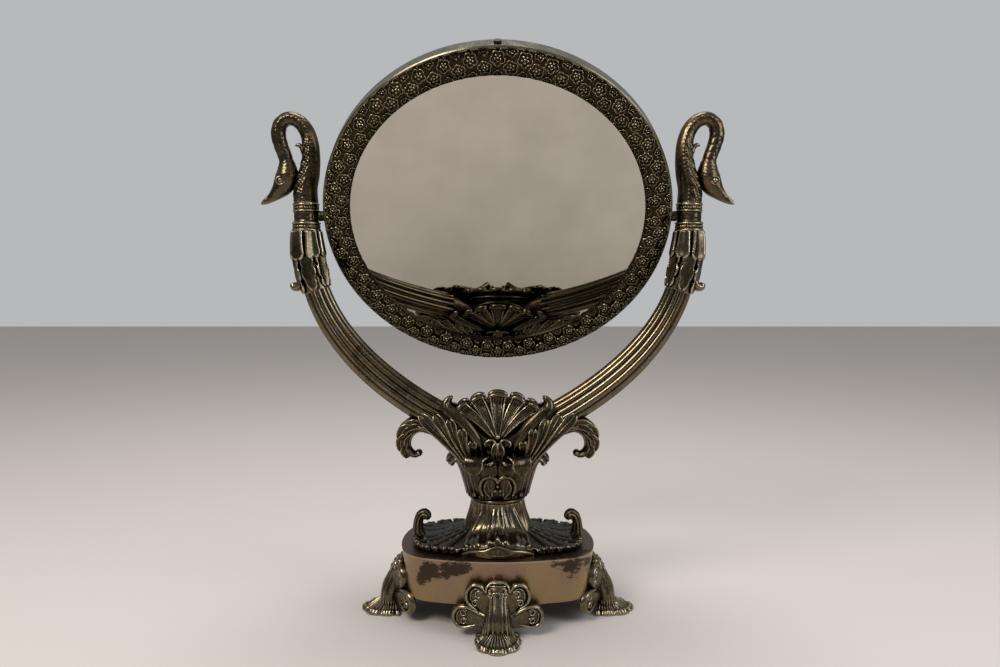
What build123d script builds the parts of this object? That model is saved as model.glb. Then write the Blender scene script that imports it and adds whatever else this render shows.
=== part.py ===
from build123d import *
import math
import os

# Swivel table mirror on two swan arms. Millimetres, +Z up, front towards -Y.
# The origin is on the floor, under the middle of the plinth.

# Plinth
plinth_half_width = 65.3
plinth_half_depth = 46.1
plinth_front_radius = 150.0
plinth_side_radius = 90.0
plinth_corner_radius = 24.0
plinth_height = 29.7
plinth_lift = 18.6
plinth_lean = 4.0
plinth_wall = 2.4

# Feet
foot_reach = 28.3
foot_shank_half_width = 9.0
foot_shank_half_depth = 7.6
foot_shank_height = 39.6
foot_knee_reach = 15.2
foot_toe_half_width = 14.6
foot_toe_height = 9.0
foot_toe_rib_count = 5
foot_toe_rib_swell = 0.08
foot_sole_trim = 0.05
upper_scroll_radius = 6.6
upper_scroll_offset = 14.4
upper_scroll_height = 30.5
lower_scroll_radius = 7.6
lower_scroll_offset = 21.6
lower_scroll_height = 15.8
scroll_front = 2.8
scroll_back = 4.6
scroll_sweep = 12.0
scroll_eye_depth = 1.2
foot_screw_radius = 2.0
foot_screw_height = 31.0
foot_screw_head_radius = 3.6
foot_screw_head_height = 2.2
foot_screw_grip = 6.0

# Leaves on the plinth
leaf_reach = 57.5
leaf_half_depth = 30.0
leaf_height = 14.0
leaf_lobe_count = 9
leaf_lobe_depth = 3.0
leaf_tip_height = 21.0
leaf_tip_reach = 54.5
leaf_tip_half_width = 4.6
leaf_tip_thickness = 3.4

# Column, waist ring and leaf cup
column_height = 28.9
column_foot_half_width = 26.4
column_foot_half_depth = 27.0
column_top_half_width = 17.2
column_top_half_depth = 15.8
column_rib_count = 14
column_rib_depth = 0.035
tongue_reach = 41.0
tongue_half_width = 25.5
tongue_height = 16.0
tongue_lip_height = 5.5
waist_height = 3.0
waist_radius = 18.9
cup_height = 24.0
cup_base_radius = 17.4
cup_belly_radius = 21.8
cup_rim_radius = 25.2
cup_wall = 3.0
cup_floor = 4.0
cup_leaf_count = 8
cup_leaf_half_width = 7.4
cup_leaf_rise = 3.2
cup_leaf_flare = 3.4
cup_side_leaf_flare = 7.2
cup_leaf_thickness = 1.5

# Tie rod
tie_radius = 3.0
tie_nut_height = 5.0
tie_nut_across_flats = 10.0
tie_washer_radius = 9.0
tie_washer_thickness = 1.6
tie_grip = 22.0

# Arms
arm_gap = 12.7
arm_curve_inset = 6.7
arm_upper_turn = 45.0
arm_lower_radius = 230.0
arm_total_turn = 61.5
arm_top_radius = 8.5
arm_end_radius = 10.5
arm_reed_count = 12
arm_reed_relief = 0.86
arm_core_radius = 6.2
arm_tenon_radius = 4.0
arm_tenon_length = 9.0

# Yoke, shells and scroll brackets
yoke_socket_radius = 10.2
shell_foot_rise = 6.0
shell_foot_offset = 12.6
shell_lean = 12.0
shell_fan_radius = 34.0
shell_rib_angles = (0, 25.4, -25.4, 43.5, -43.5)
shell_rib_half_width = 6.6
shell_lip_radius = 3.9
shell_bed_margin = 14.5
bracket_lift = 1.6
bracket_reach = 39.4
bracket_root_inner = 9.0
bracket_root_outer = 27.0
bracket_throat_inset = 2.0
bracket_throat_rise = 6.7
sleeve_radius = 14.2
sleeve_root_radius = 16.4
scroll_half_depth = 8.4

# Leaf sheath at the top of each arm
sheath_top_radius = 8.6
sheath_low_radius = 9.8
sheath_turn = 17.5
sheath_curl_radius = 2.4
sheath_curl_half_width = 4.0

# Collar
collar_height = 18.8
collar_pivot_height = 10.2
collar_low_band_radius = 9.6
collar_low_band_height = 6.0
collar_waist_radius = 8.3
collar_top_band_radius = 8.7
collar_top_band_height = 5.6
collar_band_round = 0.9
collar_stud_radius = 3.2
collar_stud_length = 5.0

# Swan
swan_height = 60.0
swan_reach = 30.0
swan_root_radius = 8.1

# Mirror
mirror_rise = 49.4
hoop_radius = 115.0
hoop_width = 12.4
hoop_wall = 1.8
bezel_width = 17.85
bezel_lip_rise = 0.5
bezel_thickness = 1.2
bezel_crown = 1.7
bezel_flange = 2.4
glass_lap = 2.25
glass_thickness = 3.0
backing_thickness = 4.0
backing_gap = 5.2
rest_tilt = 32.0
pin_radius = 2.2
pin_shoulder_radius = 3.4
pin_bearing_length = 7.0
pin_nut_across_flats = 6.0
pin_nut_height = 2.4
hoop_screw_radius = 1.2
hoop_screw_head_radius = 2.4
hoop_screw_head_height = 1.3
hoop_screw_length = 5.0

# Clearances
seat_gap = 0.15
running_gap = 0.06
thread_gap = 0.08
cover_gap = 0.3

plinth_top = plinth_lift + plinth_height
column_top = plinth_top + column_height
waist_top = column_top + waist_height
cup_top = waist_top + cup_height
pivot_height = cup_top + mirror_rise + hoop_radius
bezel_inner_radius = hoop_radius - bezel_width
arm_offset = hoop_radius + arm_gap
arm_upper_radius = arm_offset - arm_curve_inset
collar_bottom = pivot_height - collar_pivot_height
collar_top = collar_bottom + collar_height
wall_lean = math.degrees(math.atan2(plinth_lean, plinth_height))
upper_centre = (arm_offset - arm_upper_radius, collar_bottom)
pivot_point = (0, 0, pivot_height)


def polar_point(centre, radius, angle):
    """A point on a circle, with the angle in degrees."""
    turn = math.radians(angle)
    return (centre[0] + radius * math.cos(turn), centre[1] + radius * math.sin(turn))


def heading(start, end):
    """Direction from one point to another, in degrees."""
    return math.degrees(math.atan2(end[1] - start[1], end[0] - start[0]))


def cushion_corner(inset):
    """Corner arc of the plinth outline: start, middle and end."""
    front_centre = (0, plinth_half_depth - plinth_front_radius)
    side_centre = (plinth_half_width - plinth_side_radius, 0)
    front_reach = plinth_front_radius - plinth_corner_radius
    side_reach = plinth_side_radius - plinth_corner_radius
    dx = side_centre[0] - front_centre[0]
    dy = side_centre[1] - front_centre[1]
    span = math.hypot(dx, dy)
    along = (span**2 + front_reach**2 - side_reach**2) / (2 * span)
    across = math.sqrt(front_reach**2 - along**2)
    corner = (
        front_centre[0] + (dx * along + dy * across) / span,
        front_centre[1] + (dy * along - dx * across) / span,
    )
    radius = plinth_corner_radius - inset
    front_angle = heading(front_centre, corner)
    side_angle = heading(side_centre, corner)
    middle_angle = (front_angle + side_angle) / 2
    return [polar_point(corner, radius, a) for a in (front_angle, middle_angle, side_angle)]


def cushion_outline(inset, height):
    """Bowed rectangle with round corners, parallel to the plinth's top edge."""
    start, middle, end = cushion_corner(inset)
    front = (0, plinth_half_depth - inset)
    side = (plinth_half_width - inset, 0)
    edges = [
        ThreePointArc((-start[0], start[1]), front, start),
        ThreePointArc(start, middle, end),
        ThreePointArc(end, side, (end[0], -end[1])),
        ThreePointArc((end[0], -end[1]), (middle[0], -middle[1]), (start[0], -start[1])),
        ThreePointArc((start[0], -start[1]), (0, -front[1]), (-start[0], -start[1])),
        ThreePointArc((-start[0], -start[1]), (-middle[0], -middle[1]), (-end[0], -end[1])),
        ThreePointArc((-end[0], -end[1]), (-side[0], 0), (-end[0], end[1])),
        ThreePointArc((-end[0], end[1]), (-middle[0], middle[1]), (-start[0], start[1])),
    ]
    return Pos(0, 0, height) * make_face(edges)


def plinth_block(extra, bottom, top):
    """Leaning block between two heights, grown by extra all round."""

    def inset(height):
        return plinth_lean * (plinth_top - height) / plinth_height - extra

    return loft(
        [cushion_outline(inset(bottom), bottom), cushion_outline(inset(top), top)], ruled=True
    )


def oval(half_x, half_y):
    """Oval face whose outline always starts on its first axis."""
    turns = [math.radians(45 * step) for step in range(8)]
    points = [(half_x * math.cos(t), half_y * math.sin(t)) for t in turns]
    return make_face(Spline(*points, periodic=True))


def ribbed_oval(half_x, half_y):
    """Oval face with the column's upright ribs in its outline."""
    count = 4 * column_rib_count
    points = []
    for step in range(count):
        turn = 2 * math.pi * step / count
        swell = 1 + column_rib_depth * math.cos(column_rib_count * turn)
        points.append((half_x * swell * math.cos(turn), half_y * swell * math.sin(turn)))
    return make_face(Spline(*points, periodic=True))


def level_loft(stations, section=oval):
    """Loft through level sections, each (x, z, half length, half width)."""
    return loft([Pos(x, 0, z) * section(half_x, half_y) for x, z, half_x, half_y in stations])


def bent_loft(stations):
    """Loft through ovals square to a bent line in the XZ plane.

    Each station is (x, z, half thickness in the plane, half width across it).
    """
    sections = []
    for index, (x, z, half_in, half_across) in enumerate(stations):
        before = stations[max(index - 1, 0)]
        after = stations[min(index + 1, len(stations) - 1)]
        along = (after[0] - before[0], 0, after[1] - before[1])
        plane = Plane(origin=(x, 0, z), x_dir=(0, -1, 0), z_dir=along)
        sections.append(plane * oval(half_across, half_in))
    return loft(sections)


def ribbed_arch(half_width, height, rib_count, swell):
    """Edges of an arch made of rounded ribs, from its right foot to its left."""

    def on_arch(step, size=1.0):
        turn = math.pi * step / rib_count
        return (size * half_width * math.cos(turn), size * height * math.sin(turn))

    return [
        ThreePointArc(on_arch(step), on_arch(step + 0.5, 1 + swell), on_arch(step + 1))
        for step in range(rib_count)
    ]


def mound(stations, rib_count=1, swell=0.0):
    """Low leaf or toe along +X with a flat underside at Z = 0.

    Each station is (x, half width, height).
    """
    sections = []
    for x, half_width, height in stations:
        base = Line((-half_width, 0), (half_width, 0))
        edges = [base, *ribbed_arch(half_width, height, rib_count, swell)]
        upright = Plane(origin=(x, 0, 0), x_dir=(0, 1, 0), z_dir=(1, 0, 0))
        sections.append(upright * make_face(edges))
    return loft(sections)


def hexagon(across_flats, height, bore_radius):
    """Hexagonal nut standing on Z = 0."""
    blank = extrude(RegularPolygon(across_flats / 2, 6, major_radius=False), height)
    return blank - cylinder(bore_radius, -1, height + 1)


def cylinder(radius, bottom, top):
    """Upright cylinder between two heights."""
    return Pos(0, 0, bottom) * extrude(Circle(radius), top - bottom)


def along_x(shape, x=0, z=0):
    """Turn an upright shape so that its axis points along +X."""
    return Pos(x, 0, z) * Rot(0, 90, 0) * shape


def revolved(edges):
    """Solid of revolution about Z from edges drawn as (radius, height)."""
    profile = Plane(origin=(0, 0, 0), x_dir=(1, 0, 0), z_dir=(0, -1, 0)) * make_face(edges)
    return revolve(profile, Axis.Z)


def polygon_revolved(points):
    return revolved([Polyline(*points, close=True)])


# Plinth and feet


def wall_plane(angle, distance, height):
    """Plane on the plinth's outer wall at a height, facing squarely outwards.

    The distance is how far the top edge stands from the middle in that direction.
    """
    reach = distance - plinth_lean * (plinth_top - height) / plinth_height
    out = (math.cos(math.radians(angle)), math.sin(math.radians(angle)))
    drop = math.tan(math.radians(wall_lean))
    return Plane(
        origin=(out[0] * reach, out[1] * reach, height),
        x_dir=(-out[1], out[0], 0),
        z_dir=(out[0], out[1], -drop),
    )


foot_places = {
    "foot_right": (0, plinth_half_width),
    "foot_back": (90, plinth_half_depth),
    "foot_left": (180, plinth_half_width),
    "foot_front": (270, plinth_half_depth),
}


def make_plinth():
    """Cushion-shaped hollow casting, open underneath."""
    ceiling = plinth_top - plinth_wall
    shell = plinth_block(0, plinth_lift, plinth_top)
    shell -= plinth_block(-plinth_wall, plinth_lift - 1, ceiling)
    shell -= cylinder(tie_radius + seat_gap, ceiling - 1, plinth_top + 1)
    for angle, distance in foot_places.values():
        hole = cylinder(foot_screw_radius + seat_gap, -2 * plinth_wall, plinth_wall)
        shell -= wall_plane(angle, distance, foot_screw_height) * hole
    return shell


def foot_shank():
    """Bulging leg of the foot, from its cap down to the sole."""
    shares = [
        (0.47, 0.0, 0.72, 0.85),
        (0.605, 0.18, 0.79, 1.1),
        (0.5, 0.36, 1.0, 1.14),
        (0.276, 0.56, 0.92, 1.06),
        (0.105, 0.76, 0.71, 1.0),
        (0.026, 0.94, 0.45, 0.84),
        (-0.026, 1.0, 0.24, 0.5),
    ]
    full_height = foot_shank_height + foot_sole_trim
    return level_loft(
        [
            (
                out * foot_knee_reach,
                up * full_height - foot_sole_trim,
                deep * foot_shank_half_depth,
                wide * foot_shank_half_width,
            )
            for out, up, deep, wide in shares
        ]
    )


def foot_toe():
    """Fan-shaped ribbed toe that lies flat on the floor."""
    half = foot_toe_half_width
    high = foot_toe_height + foot_sole_trim
    toe = mound(
        [
            (0.2 * foot_reach, 0.66 * half, 0.8 * high),
            (0.38 * foot_reach, 0.97 * half, high),
            (0.55 * foot_reach, half, 0.92 * high),
            (0.76 * foot_reach, 0.8 * half, 0.66 * high),
            (0.92 * foot_reach, 0.48 * half, 0.4 * high),
            (foot_reach, 0.16 * half, 0.14 * high),
        ],
        foot_toe_rib_count,
        foot_toe_rib_swell,
    )
    return Pos(0, 0, -foot_sole_trim) * toe


def foot_scroll(side, offset, height, radius):
    """Comma-shaped scroll beside the shank, with a sunk eye."""
    plate = Plane(origin=(0, 0, 0), x_dir=(0, 1, 0), z_dir=(1, 0, 0))
    head = Pos(side * offset, height) * Circle(radius)
    root = Pos(side * foot_shank_half_width / 2, 0.78 * height) * Circle(0.7 * radius)
    comma = make_hull(head.edges() + root.edges())
    eye = Pos(side * offset, height) * Circle(0.5 * radius)
    body = plate * Pos(0, 0, -scroll_back) * extrude(comma, scroll_back + scroll_front)
    body -= plate * Pos(0, 0, scroll_front - scroll_eye_depth) * extrude(eye, plinth_wall)
    return Rot(0, 0, side * scroll_sweep) * body


def make_foot(angle, distance):
    """One foot casting, fitted to the plinth wall on its side."""
    foot = foot_shank() + foot_toe()
    for side in (1, -1):
        foot += foot_scroll(side, upper_scroll_offset, upper_scroll_height, upper_scroll_radius)
        foot += foot_scroll(side, lower_scroll_offset, lower_scroll_height, lower_scroll_radius)
    foot = Rot(0, 0, angle) * Pos(distance, 0, 0) * foot
    foot -= plinth_block(seat_gap, plinth_lift - seat_gap, plinth_top + 1)
    foot -= cylinder(2 * (distance + foot_reach), -foot_toe_height, 0)
    socket = cylinder(foot_screw_radius + thread_gap, 0, foot_screw_grip + 1)
    return foot - wall_plane(angle, distance, foot_screw_height) * socket


def make_foot_screws():
    """Four screws from inside the plinth, through its wall into the feet."""
    inner = -plinth_wall - seat_gap
    screw = cylinder(foot_screw_radius, inner, foot_screw_grip)
    screw += cylinder(foot_screw_head_radius, inner - foot_screw_head_height, inner)
    return [
        wall_plane(angle, distance, foot_screw_height) * screw
        for angle, distance in foot_places.values()
    ]


# Column and leaves on the plinth


def tongue(extra):
    """Leaf tongue that spreads from the column's foot towards +X."""
    half = tongue_half_width + extra
    high = tongue_height + extra
    reach = tongue_reach + extra
    return mound(
        [
            (0.34 * tongue_reach, 0.7 * half, 1.25 * high),
            (0.62 * tongue_reach, 0.88 * half, high),
            (0.8 * tongue_reach, 0.98 * half, 0.58 * high),
            (0.94 * tongue_reach, half, tongue_lip_height + extra),
            (reach, 0.8 * half, 0.6 * tongue_lip_height + extra),
        ]
    )


def column_form(extra, section):
    """Outer form of the column with its front and back tongues."""
    foot_x = column_foot_half_width + extra
    foot_y = column_foot_half_depth + extra
    top_x = column_top_half_width + extra
    top_y = column_top_half_depth + extra

    def station(height, share):
        half_x = top_x + share * (foot_x - top_x)
        half_y = top_y + share * (foot_y - top_y)
        return (0, plinth_top + height, half_x, half_y)

    trunk = level_loft(
        [
            station(0, 1.0),
            station(0.17 * column_height, 0.84),
            station(0.4 * column_height, 0.52),
            station(0.68 * column_height, 0.2),
            station(column_height, 0),
        ],
        section,
    )
    for angle in (90, 270):
        trunk += Pos(0, 0, plinth_top) * Rot(0, 0, angle) * tongue(extra)
    return trunk


def make_column():
    bore = cylinder(tie_radius + seat_gap, plinth_top - 1, column_top + 1)
    return column_form(0, ribbed_oval) - bore


def leaf_outline():
    """Lobed edge of the right leaf, seen from above."""
    root = 0.3 * leaf_reach

    def on_edge(turn, inset):
        across, along = math.sin(turn), math.cos(turn)
        x = (leaf_reach - root - inset) * math.copysign(abs(along) ** 0.7, along)
        y = (leaf_half_depth - inset) * math.copysign(abs(across) ** 0.7, across)
        return (root + x, y)

    step = math.pi / leaf_lobe_count
    turns = [index * step - math.pi / 2 for index in range(leaf_lobe_count)]
    edges = [
        ThreePointArc(
            on_edge(turn, leaf_lobe_depth),
            on_edge(turn + step / 2, 0),
            on_edge(turn + step, leaf_lobe_depth),
        )
        for turn in turns
    ]
    return edges + [Line(edges[-1] @ 1, edges[0] @ 0)]


def make_leaf():
    """Broad lobed leaf on the right half of the plinth, with its upright curled tip."""
    half = leaf_half_depth
    blade = mound(
        [
            (0.3 * leaf_reach, 0.84 * half, leaf_height),
            (0.56 * leaf_reach, half, 0.94 * leaf_height),
            (0.8 * leaf_reach, 0.96 * half, 0.74 * leaf_height),
            (leaf_reach, 0.6 * half, 0.2 * leaf_height),
        ]
    )
    blade &= extrude(make_face(leaf_outline()), 2 * leaf_height)
    thick = leaf_tip_thickness / 2
    wide = leaf_tip_half_width
    high = leaf_tip_height
    tip = bent_loft(
        [
            (leaf_tip_reach - 0.143 * high, 0.05 * high, thick, 1.1 * wide),
            (leaf_tip_reach - 0.029 * high, 0.4 * high, thick, wide),
            (leaf_tip_reach, 0.72 * high, thick, wide),
            (leaf_tip_reach - 0.105 * high, 0.886 * high, 1.1 * thick, wide),
            (leaf_tip_reach - 0.257 * high, 0.905 * high, 1.2 * thick, 0.9 * wide),
            (leaf_tip_reach - 0.333 * high, 0.762 * high, 0.9 * thick, 0.7 * wide),
        ]
    )
    leaf = Pos(0, 0, plinth_top) * (blade + tip)
    return leaf - column_form(cover_gap + column_rib_depth * column_foot_half_width, oval)


# Waist ring, cup, yoke and tie rod


def make_waist_ring():
    edges = [
        Line((tie_radius + seat_gap, column_top), (waist_radius - waist_height / 2, column_top)),
        ThreePointArc(
            (waist_radius - waist_height / 2, column_top),
            (waist_radius, column_top + waist_height / 2),
            (waist_radius - waist_height / 2, waist_top),
        ),
        Line((waist_radius - waist_height / 2, waist_top), (tie_radius + seat_gap, waist_top)),
        Line((tie_radius + seat_gap, waist_top), (tie_radius + seat_gap, column_top)),
    ]
    return revolved(edges)


def cup_curve(inset, bottom, top):
    """Swelling side of the cup, moved inwards by inset."""
    return ThreePointArc(
        (cup_base_radius - inset, bottom),
        (cup_belly_radius - inset, (bottom + top) / 2),
        (cup_rim_radius - inset, top),
    )


def cup_solid(inset, bottom, top):
    return revolved(
        [
            Line((0, bottom), (cup_base_radius - inset, bottom)),
            cup_curve(inset, bottom, top),
            Line((cup_rim_radius - inset, top), (0, top)),
            Line((0, top), (0, bottom)),
        ]
    )


def cup_leaf(flare):
    """One leaf of the cup, facing +X, with its tip rolled outwards."""
    half = cup_leaf_half_width
    thick = cup_leaf_thickness
    rim = cup_rim_radius
    return level_loft(
        [
            (cup_base_radius + 1.1 * thick, waist_top + 0.24 * cup_height, thick, 0.75 * half),
            (cup_belly_radius + 0.3 * thick, waist_top + 0.52 * cup_height, thick, half),
            (rim - 0.4 * thick, waist_top + 0.84 * cup_height, thick, half),
            (rim + 0.45 * flare, cup_top + 0.3 * cup_leaf_rise, 1.1 * thick, 0.8 * half),
            (rim + flare, cup_top + cup_leaf_rise, thick, 0.3 * half),
        ]
    )


def make_leaf_cup():
    """Cup of leaves above the waist, open at the top for the yoke."""
    cup = cup_solid(0, waist_top, cup_top)
    for index in range(cup_leaf_count):
        angle = 360 * index / cup_leaf_count
        sideways = abs(math.cos(math.radians(angle))) > 0.9
        flare = cup_side_leaf_flare if sideways else cup_leaf_flare
        cup += Rot(0, 0, angle) * cup_leaf(flare)
    hollow = cup_solid(cup_wall, waist_top, cup_top)
    floor_slab = cylinder(2 * cup_rim_radius, waist_top - 1, waist_top + cup_floor)
    cup -= hollow - floor_slab
    return cup - cylinder(tie_radius + seat_gap, waist_top - 1, cup_top)


def arm_centre(turn):
    """Middle of the right arm, turn degrees round from the collar."""
    if turn <= arm_upper_turn:
        return polar_point(upper_centre, arm_upper_radius, -turn)
    lower = polar_point(upper_centre, arm_upper_radius - arm_lower_radius, -arm_upper_turn)
    return polar_point(lower, arm_lower_radius, -turn)


def arm_plane(turn):
    """Plane square to the right arm, facing down along it."""
    x, z = arm_centre(turn)
    along = polar_point((0, 0), 1, -turn - 90)
    return Plane(origin=(x, 0, z), x_dir=(0, -1, 0), z_dir=(along[0], 0, along[1]))


def arm_tube(radius, start, end):
    """Round bar along the right arm between two turns."""
    whole = []
    for low, high, bend in (
        (start, min(end, arm_upper_turn), arm_upper_radius),
        (max(start, arm_upper_turn), end, arm_lower_radius),
    ):
        if high > low:
            x, z = arm_centre(low)
            middle = polar_point((x, z), -bend, -low)
            axis = Axis((middle[0], 0, middle[1]), (0, 1, 0))
            whole.append(revolve(arm_plane(low) * Circle(radius), axis, high - low))
    return Part() + whole


def yoke_socket(radius, start):
    """Straight run that carries the right arm on to the middle of the yoke."""
    x, _ = arm_centre(arm_total_turn)
    length = x / math.sin(math.radians(arm_total_turn))
    return arm_plane(arm_total_turn) * cylinder(radius, start, length)


def yoke_crossing():
    """Height at which the straight runs of both arms meet."""
    x, z = arm_centre(arm_total_turn)
    return z - x / math.tan(math.radians(arm_total_turn))


def both_sides(shape):
    return shape + shape.mirror(Plane.YZ)


def yoke_form(extra):
    """Outer form of the yoke above the cup."""
    core = both_sides(yoke_socket(yoke_socket_radius + extra, seat_gap - extra))
    half = yoke_socket_radius + extra
    return core + cylinder(half, waist_top + cup_floor + half, yoke_crossing())


def make_arm_yoke():
    """Core inside the cup that holds both arms and the tie rod."""
    floor_height = waist_top + cup_floor
    plug = cup_solid(cup_wall + seat_gap, waist_top, cup_top)
    plug -= cylinder(2 * cup_rim_radius, waist_top - 1, floor_height + seat_gap)
    yoke = plug + yoke_form(0)
    hole = arm_plane(arm_total_turn) * cylinder(
        arm_tenon_radius + thread_gap, -1, arm_tenon_length + 1
    )
    yoke -= both_sides(hole)
    return yoke - cylinder(tie_radius + thread_gap, floor_height - 1, floor_height + tie_grip + 1)


def tie_seat():
    """Height of the tie washer's lower face."""
    return plinth_top - plinth_wall - seat_gap - tie_washer_thickness


def make_tie_rod():
    low = tie_seat() - tie_nut_height - tie_radius
    return cylinder(tie_radius, low, waist_top + cup_floor + tie_grip)


def make_tie_washer():
    ring = cylinder(tie_washer_radius, tie_seat(), tie_seat() + tie_washer_thickness)
    return ring - cylinder(tie_radius + seat_gap, 0, plinth_top)


def make_tie_nut():
    nut = hexagon(tie_nut_across_flats, tie_nut_height, tie_radius + thread_gap)
    return Pos(0, 0, tie_seat() - seat_gap - tie_nut_height) * nut


# Arms, sheaths, collars and swans


def reed_section(turn):
    """Arm section with rounded reeds, growing from the sheath to the yoke."""
    share = (turn - sheath_turn) / (arm_total_turn - sheath_turn)
    radius = arm_top_radius + share * (arm_end_radius - arm_top_radius)
    step = 360 / arm_reed_count
    edges = []
    for index in range(arm_reed_count):
        start = polar_point((0, 0), radius * arm_reed_relief, step * index)
        crest = polar_point((0, 0), radius, step * (index + 0.5))
        end = polar_point((0, 0), radius * arm_reed_relief, step * (index + 1))
        edges.append(ThreePointArc(start, crest, end))
    return arm_plane(turn) * make_face(edges)


def make_arm():
    """Right arm: reeded bar with a round core in the sheath, a stud and a tenon."""
    middle = (sheath_turn + arm_upper_turn) / 2
    low_middle = (arm_upper_turn + arm_total_turn) / 2
    turns = (sheath_turn, middle, arm_upper_turn, low_middle, arm_total_turn)
    arm = loft([reed_section(turn) for turn in turns])
    arm += arm_tube(arm_core_radius, 0, sheath_turn + 1)
    stud = cylinder(collar_stud_radius, -1, collar_stud_length)
    arm += Pos(arm_offset, 0, collar_bottom) * stud
    tenon = cylinder(arm_tenon_radius, -1, arm_tenon_length)
    return arm + arm_plane(arm_total_turn) * tenon


def make_sheath():
    """Leaf sheath round the top of the right arm, with one curled-out tip."""
    turns = (0, 0.33 * sheath_turn, 0.66 * sheath_turn, sheath_turn - seat_gap)
    spread = sheath_low_radius - sheath_top_radius
    sections = []
    for index, turn in enumerate(turns):
        radius = sheath_top_radius + spread * index / (len(turns) - 1)
        sections.append(arm_plane(turn) * oval(radius, radius))
    sheath = loft(sections)
    curl = Rot(90, 0, 0) * extrude(
        Circle(sheath_curl_radius), sheath_curl_half_width, both=True
    )
    x, z = polar_point(
        upper_centre, arm_upper_radius + sheath_low_radius + sheath_curl_radius / 2,
        -sheath_turn + 1,
    )
    sheath += Pos(x, 0, z) * curl
    return sheath - arm_tube(arm_core_radius + seat_gap, -1, sheath_turn + 2)


def make_collar():
    """Right collar: two bands and the waist with the pivot bearing."""
    low = collar_low_band_height
    high = collar_height - collar_top_band_height
    soft = collar_band_round
    band_low = collar_low_band_radius
    band_top = collar_top_band_radius
    points = [
        (0, 0),
        (band_low - soft, 0),
        (band_low, soft),
        (band_low - 0.3, low - soft),
        (band_low - soft, low),
        (collar_waist_radius, low),
        (collar_waist_radius, high),
        (band_top - 0.2, high),
        (band_top, high + soft),
        (band_top, collar_height - soft),
        (band_top - 0.4, collar_height),
        (0, collar_height),
    ]
    collar = Pos(arm_offset, 0, collar_bottom) * polygon_revolved(points)
    socket_radius = collar_stud_radius + thread_gap
    socket_depth = collar_stud_length + thread_gap
    for low_end in (collar_bottom - 1, collar_top - socket_depth):
        collar -= Pos(arm_offset, 0, 0) * cylinder(
            socket_radius, low_end, low_end + socket_depth + 1
        )
    bore = cylinder(pin_radius + running_gap, 0, pin_bearing_length + collar_waist_radius)
    start = arm_offset - 2 * collar_waist_radius + cover_gap
    return collar - along_x(bore, start, pivot_height)


def swan_stations(shares):
    """Stations of the right swan, from shares of its reach, height and root radius."""
    return [
        (
            arm_offset + out * swan_reach,
            collar_top + up * swan_height,
            deep * swan_root_radius,
            wide * swan_root_radius,
        )
        for out, up, deep, wide in shares
    ]


def make_swan():
    """Right finial: a swan's neck bent over on itself, with its head and beak."""
    neck = [
        (0, seat_gap / swan_height, 1.0, 1.0),
        (0, 0.147, 0.95, 0.94),
        (-0.087, 0.33, 0.84, 0.85),
        (-0.133, 0.513, 0.72, 0.74),
        (-0.113, 0.672, 0.65, 0.67),
        (-0.013, 0.81, 0.605, 0.615),
        (0.163, 0.902, 0.555, 0.58),
        (0.357, 0.925, 0.545, 0.555),
        (0.53, 0.868, 0.57, 0.555),
        (0.587, 0.763, 0.595, 0.555),
        (0.533, 0.63, 0.57, 0.545),
        (0.44, 0.497, 0.555, 0.545),
        (0.407, 0.38, 0.555, 0.545),
    ]
    head = [
        (0.42, 0.48, 0.32, 0.32),
        (0.397, 0.405, 0.69, 0.59),
        (0.42, 0.288, 0.91, 0.73),
        (0.543, 0.177, 0.79, 0.655),
        (0.72, 0.087, 0.455, 0.42),
        (0.887, 0.023, 0.26, 0.31),
        (0.993, -0.008, 0.11, 0.16),
    ]
    swan = bent_loft(swan_stations(neck)) + bent_loft(swan_stations(head))
    stud = cylinder(collar_stud_radius, thread_gap - collar_stud_length, 2 * seat_gap)
    return swan + Pos(arm_offset, 0, collar_top) * stud


# Shells and scroll brackets


def shell_rib(angle):
    """One rib of the fan with its rolled lip, standing on the origin."""
    half = shell_rib_half_width
    roll = shell_lip_radius
    lip_height = shell_fan_radius - roll
    rib = level_loft(
        [
            (0, 1.0, 0.24 * half, 0.6 * roll),
            (0, 0.5 * lip_height, 0.6 * half, 0.7 * roll),
            (0, lip_height, 0.96 * half, 0.8 * roll),
        ]
    )
    edges = [EllipticalCenterArc((0, 0), half, roll, arc_size=180), Line((-half, 0), (half, 0))]
    lip = revolve(make_face(edges), Axis.X)
    return Rot(0, angle, 0) * (rib + Pos(0, 0, lip_height) * lip)


def placed_shell(shape):
    """Stand a shape at the front shell's foot, leaning back towards the middle."""
    foot = Pos(0, -shell_foot_offset, yoke_crossing() + shell_foot_rise)
    return foot * Rot(-shell_lean, 0, 0) * shape


def make_shell_front():
    fan = Part() + [shell_rib(angle) for angle in shell_rib_angles]
    return placed_shell(fan) - yoke_form(seat_gap)


def shell_bed():
    """Fan-shaped room that the brackets leave for both shells."""
    wide = max(shell_rib_angles) + shell_bed_margin
    reach = shell_fan_radius + cover_gap
    left = polar_point((0, 0), reach, 90 + wide)
    right = polar_point((0, 0), reach, 90 - wide)
    foot = -shell_lip_radius
    edges = [
        Line((0, foot), right),
        ThreePointArc(right, (0, reach), left),
        Line(left, (0, foot)),
    ]
    front = Plane(origin=(0, 0, 0), x_dir=(1, 0, 0), z_dir=(0, -1, 0))
    bed = placed_shell(extrude(front * make_face(edges), shell_lip_radius + cover_gap, both=True))
    return bed + bed.mirror(Plane.XZ)


def bracket_point(out, up):
    """Place beside the arm's line in the bracket's side view, in shares of its reach."""
    height = yoke_crossing() + bracket_reach / math.tan(math.radians(arm_total_turn))
    return (bracket_reach * (1 + out), height + bracket_reach * up)


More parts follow.
